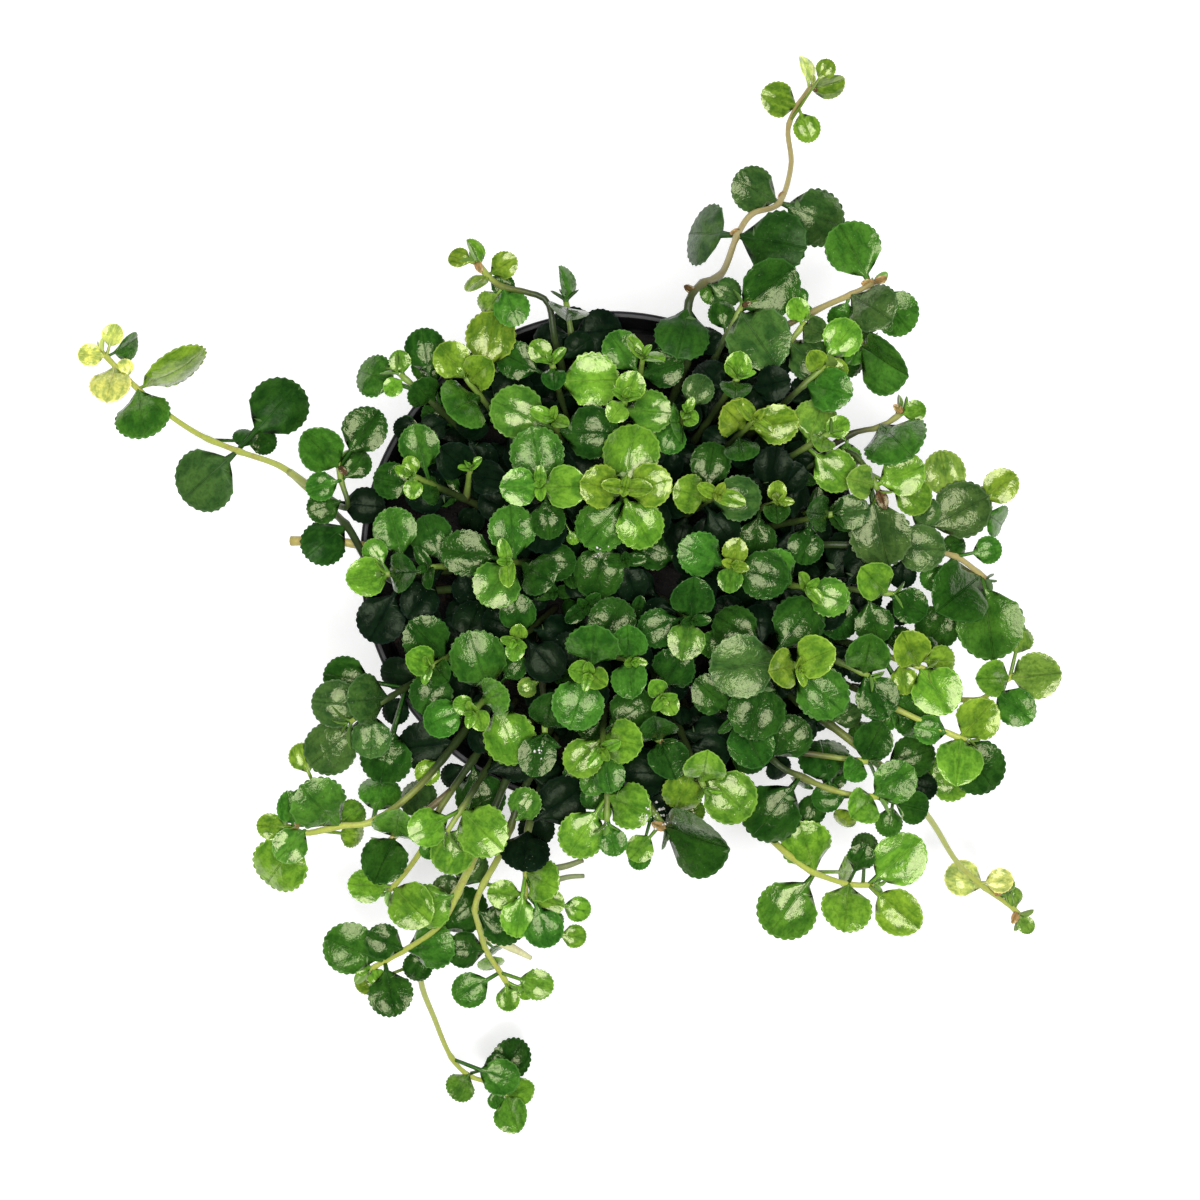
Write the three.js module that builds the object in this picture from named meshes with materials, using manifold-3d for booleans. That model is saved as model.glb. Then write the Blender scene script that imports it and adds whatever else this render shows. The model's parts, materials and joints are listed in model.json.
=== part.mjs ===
// A potted pilea: a mound of small round scalloped leaves on soft stems, in a plain black nursery pot.
// Millimetres, +Z up, the pot stands on z = 0 with its axis on the origin. +Y is the top of the photograph.
import * as THREE from "three";
import { mergeVertices } from "three/addons/utils/BufferGeometryUtils.js";
import Module from "manifold-3d";

const wasm = await Module();
wasm.setup();

// The pot. The rim's outer radius is the one size that is taken as known, and it sets the scale.
const RIM_R = 52.5;
const RIM_Z = 90;
const BASE_R = 36.6;
const WALL = 1.3;
const POT_SIDES = 24;
const DRAIN_R = 3;
const DRAIN_RING_R = 22;
const DRAIN_HOLES = 6;

// The soil, with a hole for every stem.
const GAP = 0.3;
const SOIL_EDGE_Z = 80.5;
const SOIL_MIDDLE_Z = 83;
const SOIL_SIDES = 24;
const ROOT_DEPTH = 9;
const ROOT_HOLE_R = 2.1;

// The stems.
const STEM_R = 1.2;
const STEM_SIDES = 3;
const STEM_STEP = 7.5;
const ROOT_MOST_R = 43.5;
const ROOT_SPACING = 4.8;
const ROOT_PULL = 0.62;
const LEVELS = [1.2, 5.4, 9.8, 14.4, 19.0];

// The leaves. A blade is round, on a wedge that narrows to the stem.
const LEAF_THICK = 0.66;
const DROOP = 0.15;
const FOLDS = [0.3, 0.12, 0.0, -0.06, -0.06];
const PITCHES = [16, 10, 4, 0, -4];
const REACH_LEAST = 1.27;
const REACH_MOST = 1.9;
const LEAF_CLEAR = 1.3;
const STEM_CLEAR = 1.75;
// The scalloped edge, from the tip round to the shoulder: bearing in degrees and share of the radius. The
// darker leaves, which lie lower, and the small ones have a plainer one.
const SCALLOPS = [
  [0, 1.02],
  [33, 0.92],
  [62, 1.02],
  [93, 0.93],
  [127, 1.0],
];
const LOW_SCALLOPS = [
  [0, 1.03],
  [38, 0.93],
  [80, 1.03],
  [125, 0.99],
];
const LOW_TONES = "dkgm";
const SMALL_SCALLOPS = [
  [0, 1.02],
  [56, 0.98],
  [120, 0.98],
];
const SMALL_R = 3.3;
const LEAF_ROOT = 0.15;

// The photograph looks straight down. These turn a place in it, in its pixels, into millimetres.
const RIM_PX = [609.7, 560.5, 250.1];
const PX_PER_MM = RIM_PX[2] / RIM_R;
const IMAGE_MIDDLE = 600;
const EYE_ABOVE_RIM = 520;
const EYE_X = (IMAGE_MIDDLE - RIM_PX[0]) / PX_PER_MM;
const EYE_Y = (RIM_PX[1] - IMAGE_MIDDLE) / PX_PER_MM;

// How many pixels a millimetre takes at height z.
function scaleAt(z) {
  return (PX_PER_MM * EYE_ABOVE_RIM) / (EYE_ABOVE_RIM + RIM_Z - z);
}

// The point that the photograph shows at pixel (px, py), if it lies at height z.
function seen(px, py, z) {
  const s = scaleAt(z);
  return new THREE.Vector3(EYE_X + (px - IMAGE_MIDDLE) / s, EYE_Y - (py - IMAGE_MIDDLE) / s, z);
}

// Every shoot: name, the shoot that it branches from or "", the places its stem passes from inside out to
// the tip (pixel, pixel, height in mm), and its leaves (pixel, pixel, radius in pixels, stem level, tone).
// A stem level counts down from the tip: along the stem on a mound shoot, by its listed places on a long one.
// Tones: b bright, y yellow-green, w pale yellow, o olive, m mid green, d dark, k nearly black, g grey-green.
const SHOOTS = [
  ["edge_nw_low", "", [[400, 374, 101]],
    [[400, 361, 11, 0, "b"], [393, 387, 10, 0, "b"], [368, 372, 22, 1, "m"], [425, 350, 21, 2, "m"],
      [424, 393, 18, 2, "d"]]],
  ["edge_nw_high", "", [[466, 378, 106]],
    [[452, 360, 19, 0, "y"], [479, 373, 17, 0, "y"], [464, 405, 27, 1, "m"], [490, 337, 26, 1, "y"]]],
  ["tall_north_west", "", [[556, 345, 101], [548, 303, 103], [526, 292, 103], [503, 287, 102], [488, 276, 101],
    [477, 262, 100]],
    [[475, 246, 11, 0, "b"], [459, 257, 11, 0, "y"], [503, 266, 14, 1, "y"], [470, 285, 12, 1, "o"],
      [485, 307, 15, 2, "o"], [512, 309, 19, 2, "m"]]],
  ["spike_north", "", [[566, 302, 98]], [[569, 327, 27, 0, "d"], [561, 279, 13, 0, "m"]]],
  ["north_inner", "", [[552, 364, 106]],
    [[540, 351, 12, 0, "b"], [554, 379, 13, 0, "b"], [517, 360, 20, 1, "d"], [592, 380, 27, 1, "b"]]],
  ["crown_north_west", "", [[541, 486, 116]],
    [[519, 487, 19, 0, "b"], [566, 487, 22, 0, "b"], [537, 454, 27, 1, "m"], [548, 520, 18, 1, "d"]]],
  ["inner_north", "", [[553, 420, 109]],
    [[518, 412, 27, 1, "m"], [590, 432, 27, 1, "d"]]],
  ["crown_west", "", [[508, 562, 113]],
    [[512, 530, 24, 1, "m"], [498, 583, 24, 1, "b"],
      [535, 572, 22, 2, "d"], [466, 553, 24, 2, "d"]]],
  ["inner_north_east", "", [[625, 399, 111]],
    [[631, 386, 15, 0, "b"], [617, 412, 12, 0, "b"], [648, 412, 22, 1, "m"]]],
  ["edge_north", "", [[643, 358, 104]],
    [[622, 350, 20, 1, "m"], [663, 368, 20, 1, "m"]]],
  ["inner_east_north", "", [[686, 413, 110]],
    [[691, 419, 9, 0, "b"], [669, 429, 21, 1, "m"], [698, 390, 16, 1, "m"]]],
  ["edge_north_east", "", [[738, 378, 109]],
    [[738, 366, 14, 0, "b"], [735, 389, 16, 0, "b"], [775, 384, 18, 1, "m"], [708, 372, 18, 1, "m"]]],
  ["rim_north_east", "", [[742, 306, 100]], [[758, 341, 33, 0, "d"], [770, 288, 30, 0, "d"]]],
  ["crown_north_east", "", [[754, 420, 114]],
    [[732, 418, 22, 1, "y"], [777, 425, 21, 1, "y"],
      [740, 446, 20, 2, "d"], [760, 392, 18, 2, "d"]]],
  ["rim_east_north", "", [[806, 322, 101]],
    [[797, 309, 12, 0, "b"], [813, 331, 14, 0, "b"], [801, 352, 22, 1, "d"]]],
  ["edge_east_north", "", [[825, 366, 106]],
    [[815, 361, 12, 0, "y"], [836, 370, 12, 0, "y"], [843, 337, 20, 1, "b"], [836, 390, 21, 1, "m"]]],
  ["edge_east_mid", "", [[829, 434, 110]],
    [[822, 443, 13, 0, "b"], [838, 427, 12, 0, "b"], [819, 416, 23, 1, "o"], [835, 470, 22, 1, "b"]]],
  ["crown_top", "", [[625, 488, 121]],
    [[601, 487, 22, 1, "y"], [648, 486, 22, 1, "y"],
      [629, 452, 29, 2, "b"], [640, 525, 24, 2, "b"], [600, 527, 25, 3, "b"]]],
  ["crown_east_north", "", [[716, 495, 115]],
    [[693, 495, 20, 1, "y"], [738, 498, 23, 1, "o"],
      [711, 463, 21, 2, "d"], [722, 528, 19, 2, "d"]]],
  ["inner_east", "", [[778, 502, 110]],
    [[777, 491, 10, 0, "y"], [776, 513, 14, 0, "o"], [773, 467, 20, 1, "d"], [803, 469, 17, 2, "d"]]],
  ["edge_east", "", [[833, 514, 107]],
    [[817, 514, 18, 0, "d"], [851, 512, 18, 0, "b"], [806, 546, 18, 1, "m"]]],
  ["crown_east", "", [[732, 565, 116]],
    [[735, 551, 13, 0, "y"], [730, 580, 13, 0, "y"], [702, 555, 23, 1, "b"], [763, 575, 25, 1, "d"]]],
  ["inner_east_south", "", [[806, 587, 110]],
    [[783, 577, 22, 1, "b"], [829, 597, 20, 1, "y"]]],
  ["centre_east", "", [[692, 620, 112]],
    [[692, 598, 22, 0, "o"], [686, 641, 19, 0, "b"], [658, 628, 20, 1, "m"]]],
  ["centre_south_east", "", [[663, 697, 111]],
    [[657, 688, 11, 0, "b"], [669, 705, 11, 0, "b"], [672, 670, 22, 1, "m"]]],
  ["crown_south_east", "", [[798, 667, 116]],
    [[782, 668, 20, 0, "y"], [814, 656, 22, 0, "y"], [743, 666, 32, 1, "g"], [822, 693, 27, 1, "d"],
      [800, 622, 27, 2, "d"], [757, 710, 29, 2, "d"]]],
  ["low_south_east", "crown_south_east", [[733, 718, 106]],
    [[712, 694, 21, 0, "g"], [751, 744, 24, 0, "d"]]],
  ["edge_west_south", "", [[431, 667, 107]],
    [[421, 660, 16, 0, "b"], [441, 673, 14, 0, "b"], [428, 640, 24, 1, "m"], [431, 693, 22, 1, "m"]]],
  ["crown_south_west", "", [[474, 711, 113]],
    [[463, 705, 10, 0, "b"], [480, 720, 11, 0, "b"], [492, 697, 21, 1, "m"], [442, 717, 20, 1, "m"],
      [480, 664, 29, 2, "b"], [509, 738, 27, 2, "b"]]],
  ["inner_west", "", [[516, 641, 109]],
    [[515, 651, 10, 0, "b"], [519, 632, 9, 0, "b"], [518, 614, 19, 1, "m"], [545, 661, 21, 1, "d"]]],
  ["low_west", "inner_west", [[545, 733, 105]], [[550, 710, 21, 0, "d"], [537, 756, 20, 0, "k"]]],
  ["crown_south", "", [[589, 674, 116]],
    [[579, 671, 12, 0, "b"], [598, 679, 12, 0, "b"], [593, 645, 27, 1, "b"], [578, 704, 26, 1, "b"]]],
  ["centre_south", "crown_south", [[631, 661, 111]],
    [[628, 643, 20, 0, "m"], [630, 680, 19, 0, "m"]]],
  ["inner_south", "", [[603, 748, 114]],
    [[583, 758, 20, 1, "b"], [623, 740, 23, 1, "b"],
      [605, 776, 18, 2, "m"]]],
  ["low_south", "inner_south", [[662, 742, 107]], [[655, 724, 21, 0, "d"], [669, 761, 21, 0, "d"]]],
  ["edge_south_east", "", [[704, 787, 111]],
    [[704, 766, 20, 0, "b"], [682, 797, 21, 1, "y"], [730, 797, 27, 1, "b"]]],
  ["edge_west_north", "", [[413, 476, 106]],
    [[413, 489, 10, 0, "b"], [411, 465, 9, 0, "b"], [418, 446, 21, 1, "b"], [385, 479, 19, 2, "d"],
      [439, 490, 15, 2, "m"]]],
  ["low_north_west", "edge_west_north", [[470, 470, 98]], [[455, 461, 20, 0, "k"], [487, 478, 18, 0, "k"]]],
  ["edge_west", "", [[385, 574, 105]],
    [[367, 577, 20, 0, "b"], [403, 573, 20, 0, "b"], [395, 530, 22, 1, "b"], [381, 619, 24, 1, "k"]]],
  ["inner_west_low", "", [[430, 567, 106]],
    [[430, 535, 22, 1, "g"], [420, 601, 20, 1, "d"]]],
  ["rim_south_west", "", [[350, 722, 104]],
    [[336, 704, 24, 1, "m"], [371, 738, 23, 1, "m"],
      [380, 696, 23, 2, "m"], [325, 751, 25, 2, "m"], [343, 678, 22, 3, "m"], [383, 766, 26, 3, "d"]]],
  ["arch_south_west", "", [[425, 780, 97], [375, 820, 98], [340, 826, 97], [306, 833, 94], [288, 826, 93]],
    [[270, 826, 13, 0, "y"], [291, 806, 16, 0, "m"], [290, 846, 18, 1, "m"], [272, 868, 28, 1, "b"],
      [322, 806, 28, 2, "m"]]],
  ["rim_south_south_west", "", [[447, 832, 104]],
    [[425, 828, 20, 1, "b"], [482, 829, 27, 1, "b"],
      [450, 858, 22, 2, "b"]]],
  ["arch_south_west_low", "", [[444, 802, 97], [426, 842, 94], [406, 872, 89], [390, 890, 86]],
    [[367, 885, 18, 0, "b"], [413, 905, 24, 0, "b"]]],
  ["side_south_west", "arch_south_west_low", [[390, 840, 99]], [[393, 820, 24, 0, "m"], [385, 859, 24, 0, "d"]]],
  ["trail_south_west", "", [[497, 802, 98], [480, 845, 96], [462, 885, 88], [440, 925, 80], [405, 950, 74],
    [385, 961, 71], [369, 970, 69]],
    [[377, 977, 9, 0, "b"], [361, 967, 9, 0, "b"], [352, 946, 25, 1, "m"], [392, 995, 22, 1, "d"],
      [383, 942, 18, 2, "d"], [431, 945, 24, 2, "m"]]],
  ["trail_south", "trail_south_west", [[430, 945, 70], [421, 980, 55], [435, 1020, 40], [450, 1055, 29],
    [468, 1075, 24], [493, 1084, 22], [510, 1098, 21]],
    [[521, 1090, 14, 0, "b"], [510, 1115, 17, 0, "b"], [511, 1062, 21, 1, "d"], [487, 1098, 13, 1, "m"],
      [462, 1084, 15, 2, "m"], [480, 1056, 16, 2, "d"]]],
  ["trail_south_short", "", [[520, 800, 98], [502, 850, 97], [482, 887, 90], [475, 909, 85], [480, 930, 80],
    [486, 950, 75], [500, 972, 71], [508, 985, 69]],
    [[508, 999, 12, 0, "b"], [526, 992, 10, 0, "b"], [470, 990, 18, 1, "m"], [537, 984, 16, 1, "b"],
      [467, 950, 18, 2, "d"]]],
  ["rim_south", "", [[528, 830, 98], [526, 872, 98], [525, 899, 95]],
    [[503, 894, 15, 0, "b"], [549, 902, 15, 0, "b"], [540, 878, 21, 1, "b"], [546, 936, 20, 1, "d"],
      [519, 918, 19, 1, "b"], [525, 850, 22, 2, "k"]]],
  ["edge_south", "", [[607, 822, 106]],
    [[613, 842, 14, 0, "b"], [582, 835, 24, 1, "b"], [626, 803, 24, 1, "b"]]],
  ["low_south_south_east", "edge_south", [[665, 828, 99]], [[699, 850, 32, 0, "d"], [640, 848, 14, 0, "b"]]],
  ["rim_east", "", [[800, 470, 100], [847, 452, 104], [868, 472, 106], [878, 490, 107]],
    [[860, 482, 17, 0, "o"], [903, 474, 22, 0, "b"], [848, 516, 18, 1, "y"], [914, 496, 19, 1, "b"],
      [880, 535, 31, 1, "g"]]],
  ["rim_east_north_side", "rim_east", [[847, 436, 103], [880, 427, 102], [902, 413, 101]],
    [[915, 411, 11, 0, "b"], [900, 400, 11, 0, "o"], [901, 446, 30, 1, "m"], [848, 459, 15, 2, "m"]]],
  ["trail_east", "", [[820, 545, 98], [880, 545, 99], [925, 530, 97], [952, 515, 95], [978, 502, 93]],
    [[1000, 486, 18, 0, "y"], [1000, 519, 16, 0, "m"], [945, 474, 22, 1, "o"], [962, 510, 29, 2, "g"]]],
  ["trail_east_side", "trail_east", [[925, 552, 95], [955, 556, 93], [985, 578, 90]],
    [[960, 597, 31, 0, "d"], [1002, 620, 32, 0, "m"], [935, 577, 14, 1, "m"], [988, 550, 14, 1, "m"]]],
  ["edge_east_low", "", [[893, 594, 107]],
    [[873, 580, 20, 0, "b"], [910, 606, 18, 0, "m"], [875, 624, 20, 1, "d"]]],
  ["rim_east_south", "", [[925, 669, 104]],
    [[910, 649, 20, 0, "y"], [936, 691, 25, 0, "b"], [903, 673, 16, 1, "y"], [945, 661, 16, 1, "y"],
      [924, 722, 26, 2, "m"]]],
  ["edge_east_south", "", [[869, 676, 105]],
    [[866, 654, 23, 0, "m"], [877, 697, 22, 0, "d"]]],
  ["rim_south_east", "", [[882, 702, 100], [953, 735, 102], [966, 739, 102]],
    [[977, 718, 22, 0, "y"], [957, 761, 24, 0, "b"], [989, 766, 25, 1, "d"], [930, 730, 15, 1, "m"]]],
  ["trail_east_south", "rim_south_east", [[970, 700, 94], [992, 688, 91], [1014, 675, 89]],
    [[996, 674, 20, 0, "b"], [1036, 675, 23, 0, "o"], [1016, 708, 20, 1, "m"]]],
  ["arch_south_east", "", [[770, 757, 101], [800, 776, 101], [830, 789, 100], [855, 795, 100], [878, 797, 99]],
    [[861, 806, 19, 0, "b"], [895, 781, 22, 0, "m"], [914, 808, 17, 0, "d"], [826, 751, 26, 2, "d"],
      [772, 815, 30, 3, "d"], [790, 737, 22, 4, "d"]]],
  ["side_south_east", "arch_south_east", [[868, 762, 100]], [[873, 740, 20, 0, "m"], [852, 770, 14, 0, "m"]]],
  ["trail_south_east_low", "", [[735, 800, 97], [770, 838, 95], [795, 860, 91], [815, 873, 89], [848, 884, 85],
    [873, 885, 83]],
    [[899, 858, 27, 0, "b"], [898, 912, 24, 0, "y"], [845, 905, 25, 1, "b"], [861, 855, 14, 1, "d"],
      [807, 848, 26, 2, "b"], [788, 911, 30, 2, "b"]]],
  ["trail_south_east", "", [[850, 740, 97], [905, 790, 86], [932, 822, 68], [957, 862, 50], [985, 888, 43],
    [1008, 904, 38], [1019, 914, 36]],
    [[1026, 925, 9, 0, "o"], [1003, 918, 9, 0, "o"], [1000, 882, 13, 1, "o"], [964, 879, 18, 2, "w"]]],
  ["trail_north_east", "", [[690, 350, 98], [688, 306, 100], [700, 285, 97], [722, 273, 90], [737, 236, 76],
    [752, 214, 69], [779, 203, 63], [791, 165, 54], [788, 130, 48], [797, 106, 45], [812, 86, 43]],
    [[804, 66, 12, 0, "w"], [832, 84, 12, 0, "y"], [779, 99, 19, 1, "y"], [807, 127, 14, 1, "y"],
      [755, 191, 23, 4, "d"], [817, 220, 28, 4, "m"], [704, 236, 25, 6, "g"], [772, 243, 32, 6, "d"],
      [683, 331, 28, 9, "d"]]],
  ["arch_north_east", "", [[770, 340, 97], [815, 311, 98], [850, 295, 95], [874, 283, 91]],
    [[857, 247, 28, 0, "b"], [902, 312, 24, 0, "m"], [868, 308, 26, 1, "g"]]],
  ["side_north_east", "arch_north_east", [[866, 344, 99]], [[887, 369, 26, 0, "m"], [855, 356, 10, 0, "m"]]],
  ["trail_west", "", [[420, 590, 96], [372, 565, 97], [346, 525, 92], [306, 487, 82], [280, 466, 76],
    [238, 451, 67], [200, 435, 61], [165, 412, 57], [138, 389, 54], [115, 366, 52], [103, 353, 51]],
    [[90, 355, 12, 0, "w"], [113, 335, 11, 0, "w"], [113, 383, 21, 1, "w"], [131, 340, 17, 1, "y"],
      [143, 413, 27, 2, "m"], [174, 367, 22, 2, "y"], [203, 479, 29, 5, "d"], [277, 404, 30, 5, "k"],
      [243, 431, 12, 5, "d"], [327, 541, 23, 8, "d"]]],
  ["side_west", "trail_west", [[345, 508, 96], [341, 480, 98], [338, 462, 99]],
    [[322, 450, 23, 0, "m"], [364, 431, 23, 0, "d"], [355, 463, 16, 1, "d"], [321, 486, 15, 1, "b"],
      [327, 506, 16, 2, "d"]]],
];

// A closed three.js geometry as a solid.
function solid(geometry) {
  const g = geometry.clone();
  g.deleteAttribute("normal");
  g.deleteAttribute("uv");
  const merged = mergeVertices(g, 1e-4);
  return new wasm.Manifold(
    new wasm.Mesh({
      numProp: 3,
      vertProperties: Float32Array.from(merged.attributes.position.array),
      triVerts: Uint32Array.from(merged.index.array),
    }),
  );
}

// A solid as a named mesh with its own material.
function meshOf(name, body, material) {
  const m = body.getMesh();
  const g = new THREE.BufferGeometry();
  g.setAttribute("position", new THREE.BufferAttribute(Float32Array.from(m.vertProperties), 3));
  g.setIndex(new THREE.BufferAttribute(Uint32Array.from(m.triVerts), 1));
  g.computeVertexNormals();
  const mesh = new THREE.Mesh(g, material);
  mesh.name = name;
  return mesh;
}

// A profile of [radius, height] pairs turned about the vertical axis.
function turned(profile, sides) {
  const g = new THREE.LatheGeometry(profile.map(([r, z]) => new THREE.Vector2(r, z)), sides);
  g.rotateX(Math.PI / 2);
  return g;
}

// An upright round peg, for cutting holes.
function peg(radius, bottom, top, x, y, sides) {
  const g = new THREE.CylinderGeometry(radius, radius, top - bottom, sides);
  g.rotateX(Math.PI / 2);
  g.translate(x, y, (top + bottom) / 2);
  return solid(g);
}

// The nursery pot: a thin tapered wall, a rim band that steps out with a small rolled lip, and a floor
// that is raised round its middle, with a ring of drain holes through the raised part.
function makePot() {
  const profile = [
    [0, 0],
    [13, 0],
    [14, 2],
    [30, 2],
    [31, 0],
    [BASE_R, 0],
    [49.3, 76],
    [51.4, 77.6],
    [RIM_R, 89],
    [RIM_R - 0.6, RIM_Z],
    [RIM_R - 1.5, RIM_Z],
    [50.1, 78.6],
    [48.0, 77],
    [BASE_R - WALL, 3.4],
    [0, 3.4],
  ];
  let pot = solid(turned(profile, POT_SIDES));
  for (let k = 0; k < DRAIN_HOLES; k++) {
    const turn = ((k + 0.5) / DRAIN_HOLES) * 2 * Math.PI;
    const x = DRAIN_RING_R * Math.cos(turn);
    const y = DRAIN_RING_R * Math.sin(turn);
    pot = pot.subtract(peg(DRAIN_R, -1, 5, x, y, 6));
  }
  return pot;
}

// Height of the soil's top at radius r: a low mound.
function soilTop(r) {
  return SOIL_MIDDLE_Z - (SOIL_MIDDLE_Z - SOIL_EDGE_Z) * (r / 49) ** 2;
}

// The soil fills the pot up to a little under the rim. Its top is lumpy by a formula, and every root has
// a plain hole.
function makeSoil(roots) {
  const top = [49.2, 35, 16];
  const profile = [
    [0, 3.4 + GAP],
    [BASE_R - WALL - GAP, 3.4 + GAP],
    [47.6, 77.0],
    [49.2, 78.7],
    ...top.map((r) => [r, soilTop(r)]),
    [0, soilTop(0)],
  ];
  const g = turned(profile, SOIL_SIDES);
  const p = g.attributes.position;
  for (let i = 0; i < p.count; i++) {
    if (p.getZ(i) < SOIL_EDGE_Z - 0.01) continue;
    const lump = Math.sin(p.getX(i) * 0.61 + 1.3) * Math.cos(p.getY(i) * 0.53 - 0.7);
    p.setZ(i, p.getZ(i) + 0.7 * lump);
  }
  const holes = roots.map((r) => peg(ROOT_HOLE_R, r.z - ROOT_DEPTH - GAP, r.z + 6, r.x, r.y, 4));
  return solid(g).subtract(wasm.Manifold.union(holes));
}

// Where each rooted shoot leaves the soil: under its first listed place, pulled in towards the middle,
// and then every two that are too near each other are pushed apart by equal amounts, over and over.
function placeRoots(shoots) {
  const roots = shoots.map((shoot) => {
    const first = seen(...shoot.path[0]);
    const r = Math.hypot(first.x, first.y);
    const pull = Math.min(ROOT_PULL, ROOT_MOST_R / r);
    return new THREE.Vector3(first.x * pull, first.y * pull, 0);
  });
  for (let round = 0; round < 80; round++) {
    for (let i = 0; i < roots.length; i++) {
      for (let j = i + 1; j < roots.length; j++) {
        const dx = roots[j].x - roots[i].x;
        const dy = roots[j].y - roots[i].y;
        const d = Math.max(Math.hypot(dx, dy), 0.01);
        if (d >= ROOT_SPACING) continue;
        const push = (ROOT_SPACING - d) / 2 / d;
        roots[i].x -= dx * push;
        roots[i].y -= dy * push;
        roots[j].x += dx * push;
        roots[j].y += dy * push;
      }
    }
    for (const p of roots) {
      const r = Math.hypot(p.x, p.y);
      if (r <= ROOT_MOST_R) continue;
      p.x *= ROOT_MOST_R / r;
      p.y *= ROOT_MOST_R / r;
    }
  }
  for (const p of roots) p.z = soilTop(Math.hypot(p.x, p.y));
  return roots;
}

// The places a stem passes: up out of the soil, or off its parent's stem, and on to the tip.
function stemPlaces(shoot) {
  const path = shoot.path.map((p) => seen(...p));
  const tip = path[path.length - 1];
  if (shoot.parent) {
    const start = stemAt(shoot.parent, shoot.parent.length * 0.55);
    if (path.length > 1) return [start, ...path];
    const middle = start.clone().lerp(tip, 0.6);
    middle.z = start.z + (tip.z - start.z) * 0.45;
    return [start, middle, ...path];
  }
  const at = (x, y, z) => new THREE.Vector3(x, y, z);
  const root = shoot.root;
  const rise = [-ROOT_DEPTH, -1, 3].map((up) => at(root.x, root.y, root.z + up));
  if (path.length > 1) return [...rise, ...path];
  const middle = at(root.x, root.y, 0).lerp(at(tip.x, tip.y, 0), 0.55);
  const overRim = Math.min(Math.max((Math.hypot(tip.x, tip.y) - 40) / 12, 0), 1);
  middle.z = root.z + 3 + (tip.z - root.z - 3) * (0.45 + 0.4 * overRim);
  return [...rise, middle, ...path];
}

// A smooth curve through the places, and the straight steps that the stem's rod takes along it.
function makeStem(shoot) {
  shoot.places = stemPlaces(shoot);
  shoot.curve = new THREE.CatmullRomCurve3(shoot.places, false, "catmullrom", 0.5);
  shoot.steps = Math.max(4, Math.round(shoot.curve.getLength() / STEM_STEP));
  shoot.run = shoot.curve.getSpacedPoints(shoot.steps);
  shoot.along = [0];
  for (let i = 1; i <= shoot.steps; i++) {
    shoot.along.push(shoot.along[i - 1] + shoot.run[i].distanceTo(shoot.run[i - 1]));
  }
  shoot.length = shoot.along[shoot.steps];
}

// The point on a stem at a length from its start.
function stemAt(shoot, length) {
  let i = 1;
  while (i < shoot.run.length - 1 && shoot.along[i] < length) i++;
  const t = (length - shoot.along[i - 1]) / (shoot.along[i] - shoot.along[i - 1]);
  return shoot.run[i - 1].clone().lerp(shoot.run[i], Math.min(Math.max(t, 0), 1));
}

// The point on the stem at a leaf's level.
function levelPoint(shoot, level) {
  if (shoot.path.length === 1) return stemAt(shoot, shoot.length - LEVELS[level]);
  if (level === 0) return stemAt(shoot, shoot.length - LEVELS[0]);
  return nearestOn(shoot, shoot.places[shoot.places.length - 1 - level]);
}

// The point of a stem's rod that is nearest to p.
function nearestOn(shoot, p) {
  const line = new THREE.Line3();
  const near = new THREE.Vector3();
  let best = shoot.run[0];
  for (let i = 1; i < shoot.run.length; i++) {
    line.set(shoot.run[i - 1], shoot.run[i]).closestPointToPoint(p, true, near);
    if (near.distanceTo(p) < best.distanceTo(p)) best = near.clone();
  }
  return best;
}

// A leaf from its listed place: it reaches from the stem towards the place where the photograph shows its
// blade. One that shows nearer the stem than its own length rises steeply.
function makeLeaf(shoot, [px, py, pxRadius, level, tone]) {
  const base = levelPoint(shoot, level);
  const centre = seen(px, py, base.z + 1);
  const radius = pxRadius / scaleAt(base.z + 1);
  const dx = centre.x - base.x;
  const dy = centre.y - base.y;
  const plan = Math.hypot(dx, dy);
  const rank = Math.min(level, FOLDS.length - 1);
  let pitch = (PITCHES[rank] * Math.PI) / 180;
  let reach = Math.min(plan, REACH_MOST * radius) / Math.cos(pitch);
  if (plan < REACH_LEAST * radius * Math.cos(pitch)) {
    reach = REACH_LEAST * radius;
    pitch = Math.min(Math.acos(plan / reach), 1.1);
  }
  return { shoot, base, bearing: Math.atan2(dy, dx), pitch, roll: 0, radius, reach, fold: FOLDS[rank], level, tone };
}

// The leaf's own directions: along, across and up out of the blade.
function aim(leaf) {
  const [cb, sb] = [Math.cos(leaf.bearing), Math.sin(leaf.bearing)];
  const [cp, sp] = [Math.cos(leaf.pitch), Math.sin(leaf.pitch)];
  const [cr, sr] = [Math.cos(leaf.roll), Math.sin(leaf.roll)];
  const side = new THREE.Vector3(-sb, cb, 0);
  const up = new THREE.Vector3(-sp * cb, -sp * sb, cp);
  leaf.along = new THREE.Vector3(cp * cb, cp * sb, sp);
  leaf.across = side.clone().multiplyScalar(cr).addScaledVector(up, sr);
  leaf.up = up.clone().multiplyScalar(cr).addScaledVector(side, -sr);
}

// How far the blade stands off its flat plane: folded up along the midrib, or down, and drooping to the tip.
function bend(leaf, u, v) {
  return leaf.fold * Math.abs(v) - (DROOP * u * u) / (leaf.reach + leaf.radius);
}

// The point of the blade at u along it and v across it, and off it by lift.
function bladePoint(leaf, u, v, lift) {
  return leaf.base
    .clone()
    .addScaledVector(leaf.along, u)
    .addScaledVector(leaf.across, v)
    .addScaledVector(leaf.up, bend(leaf, u, v) + lift);
}

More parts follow.
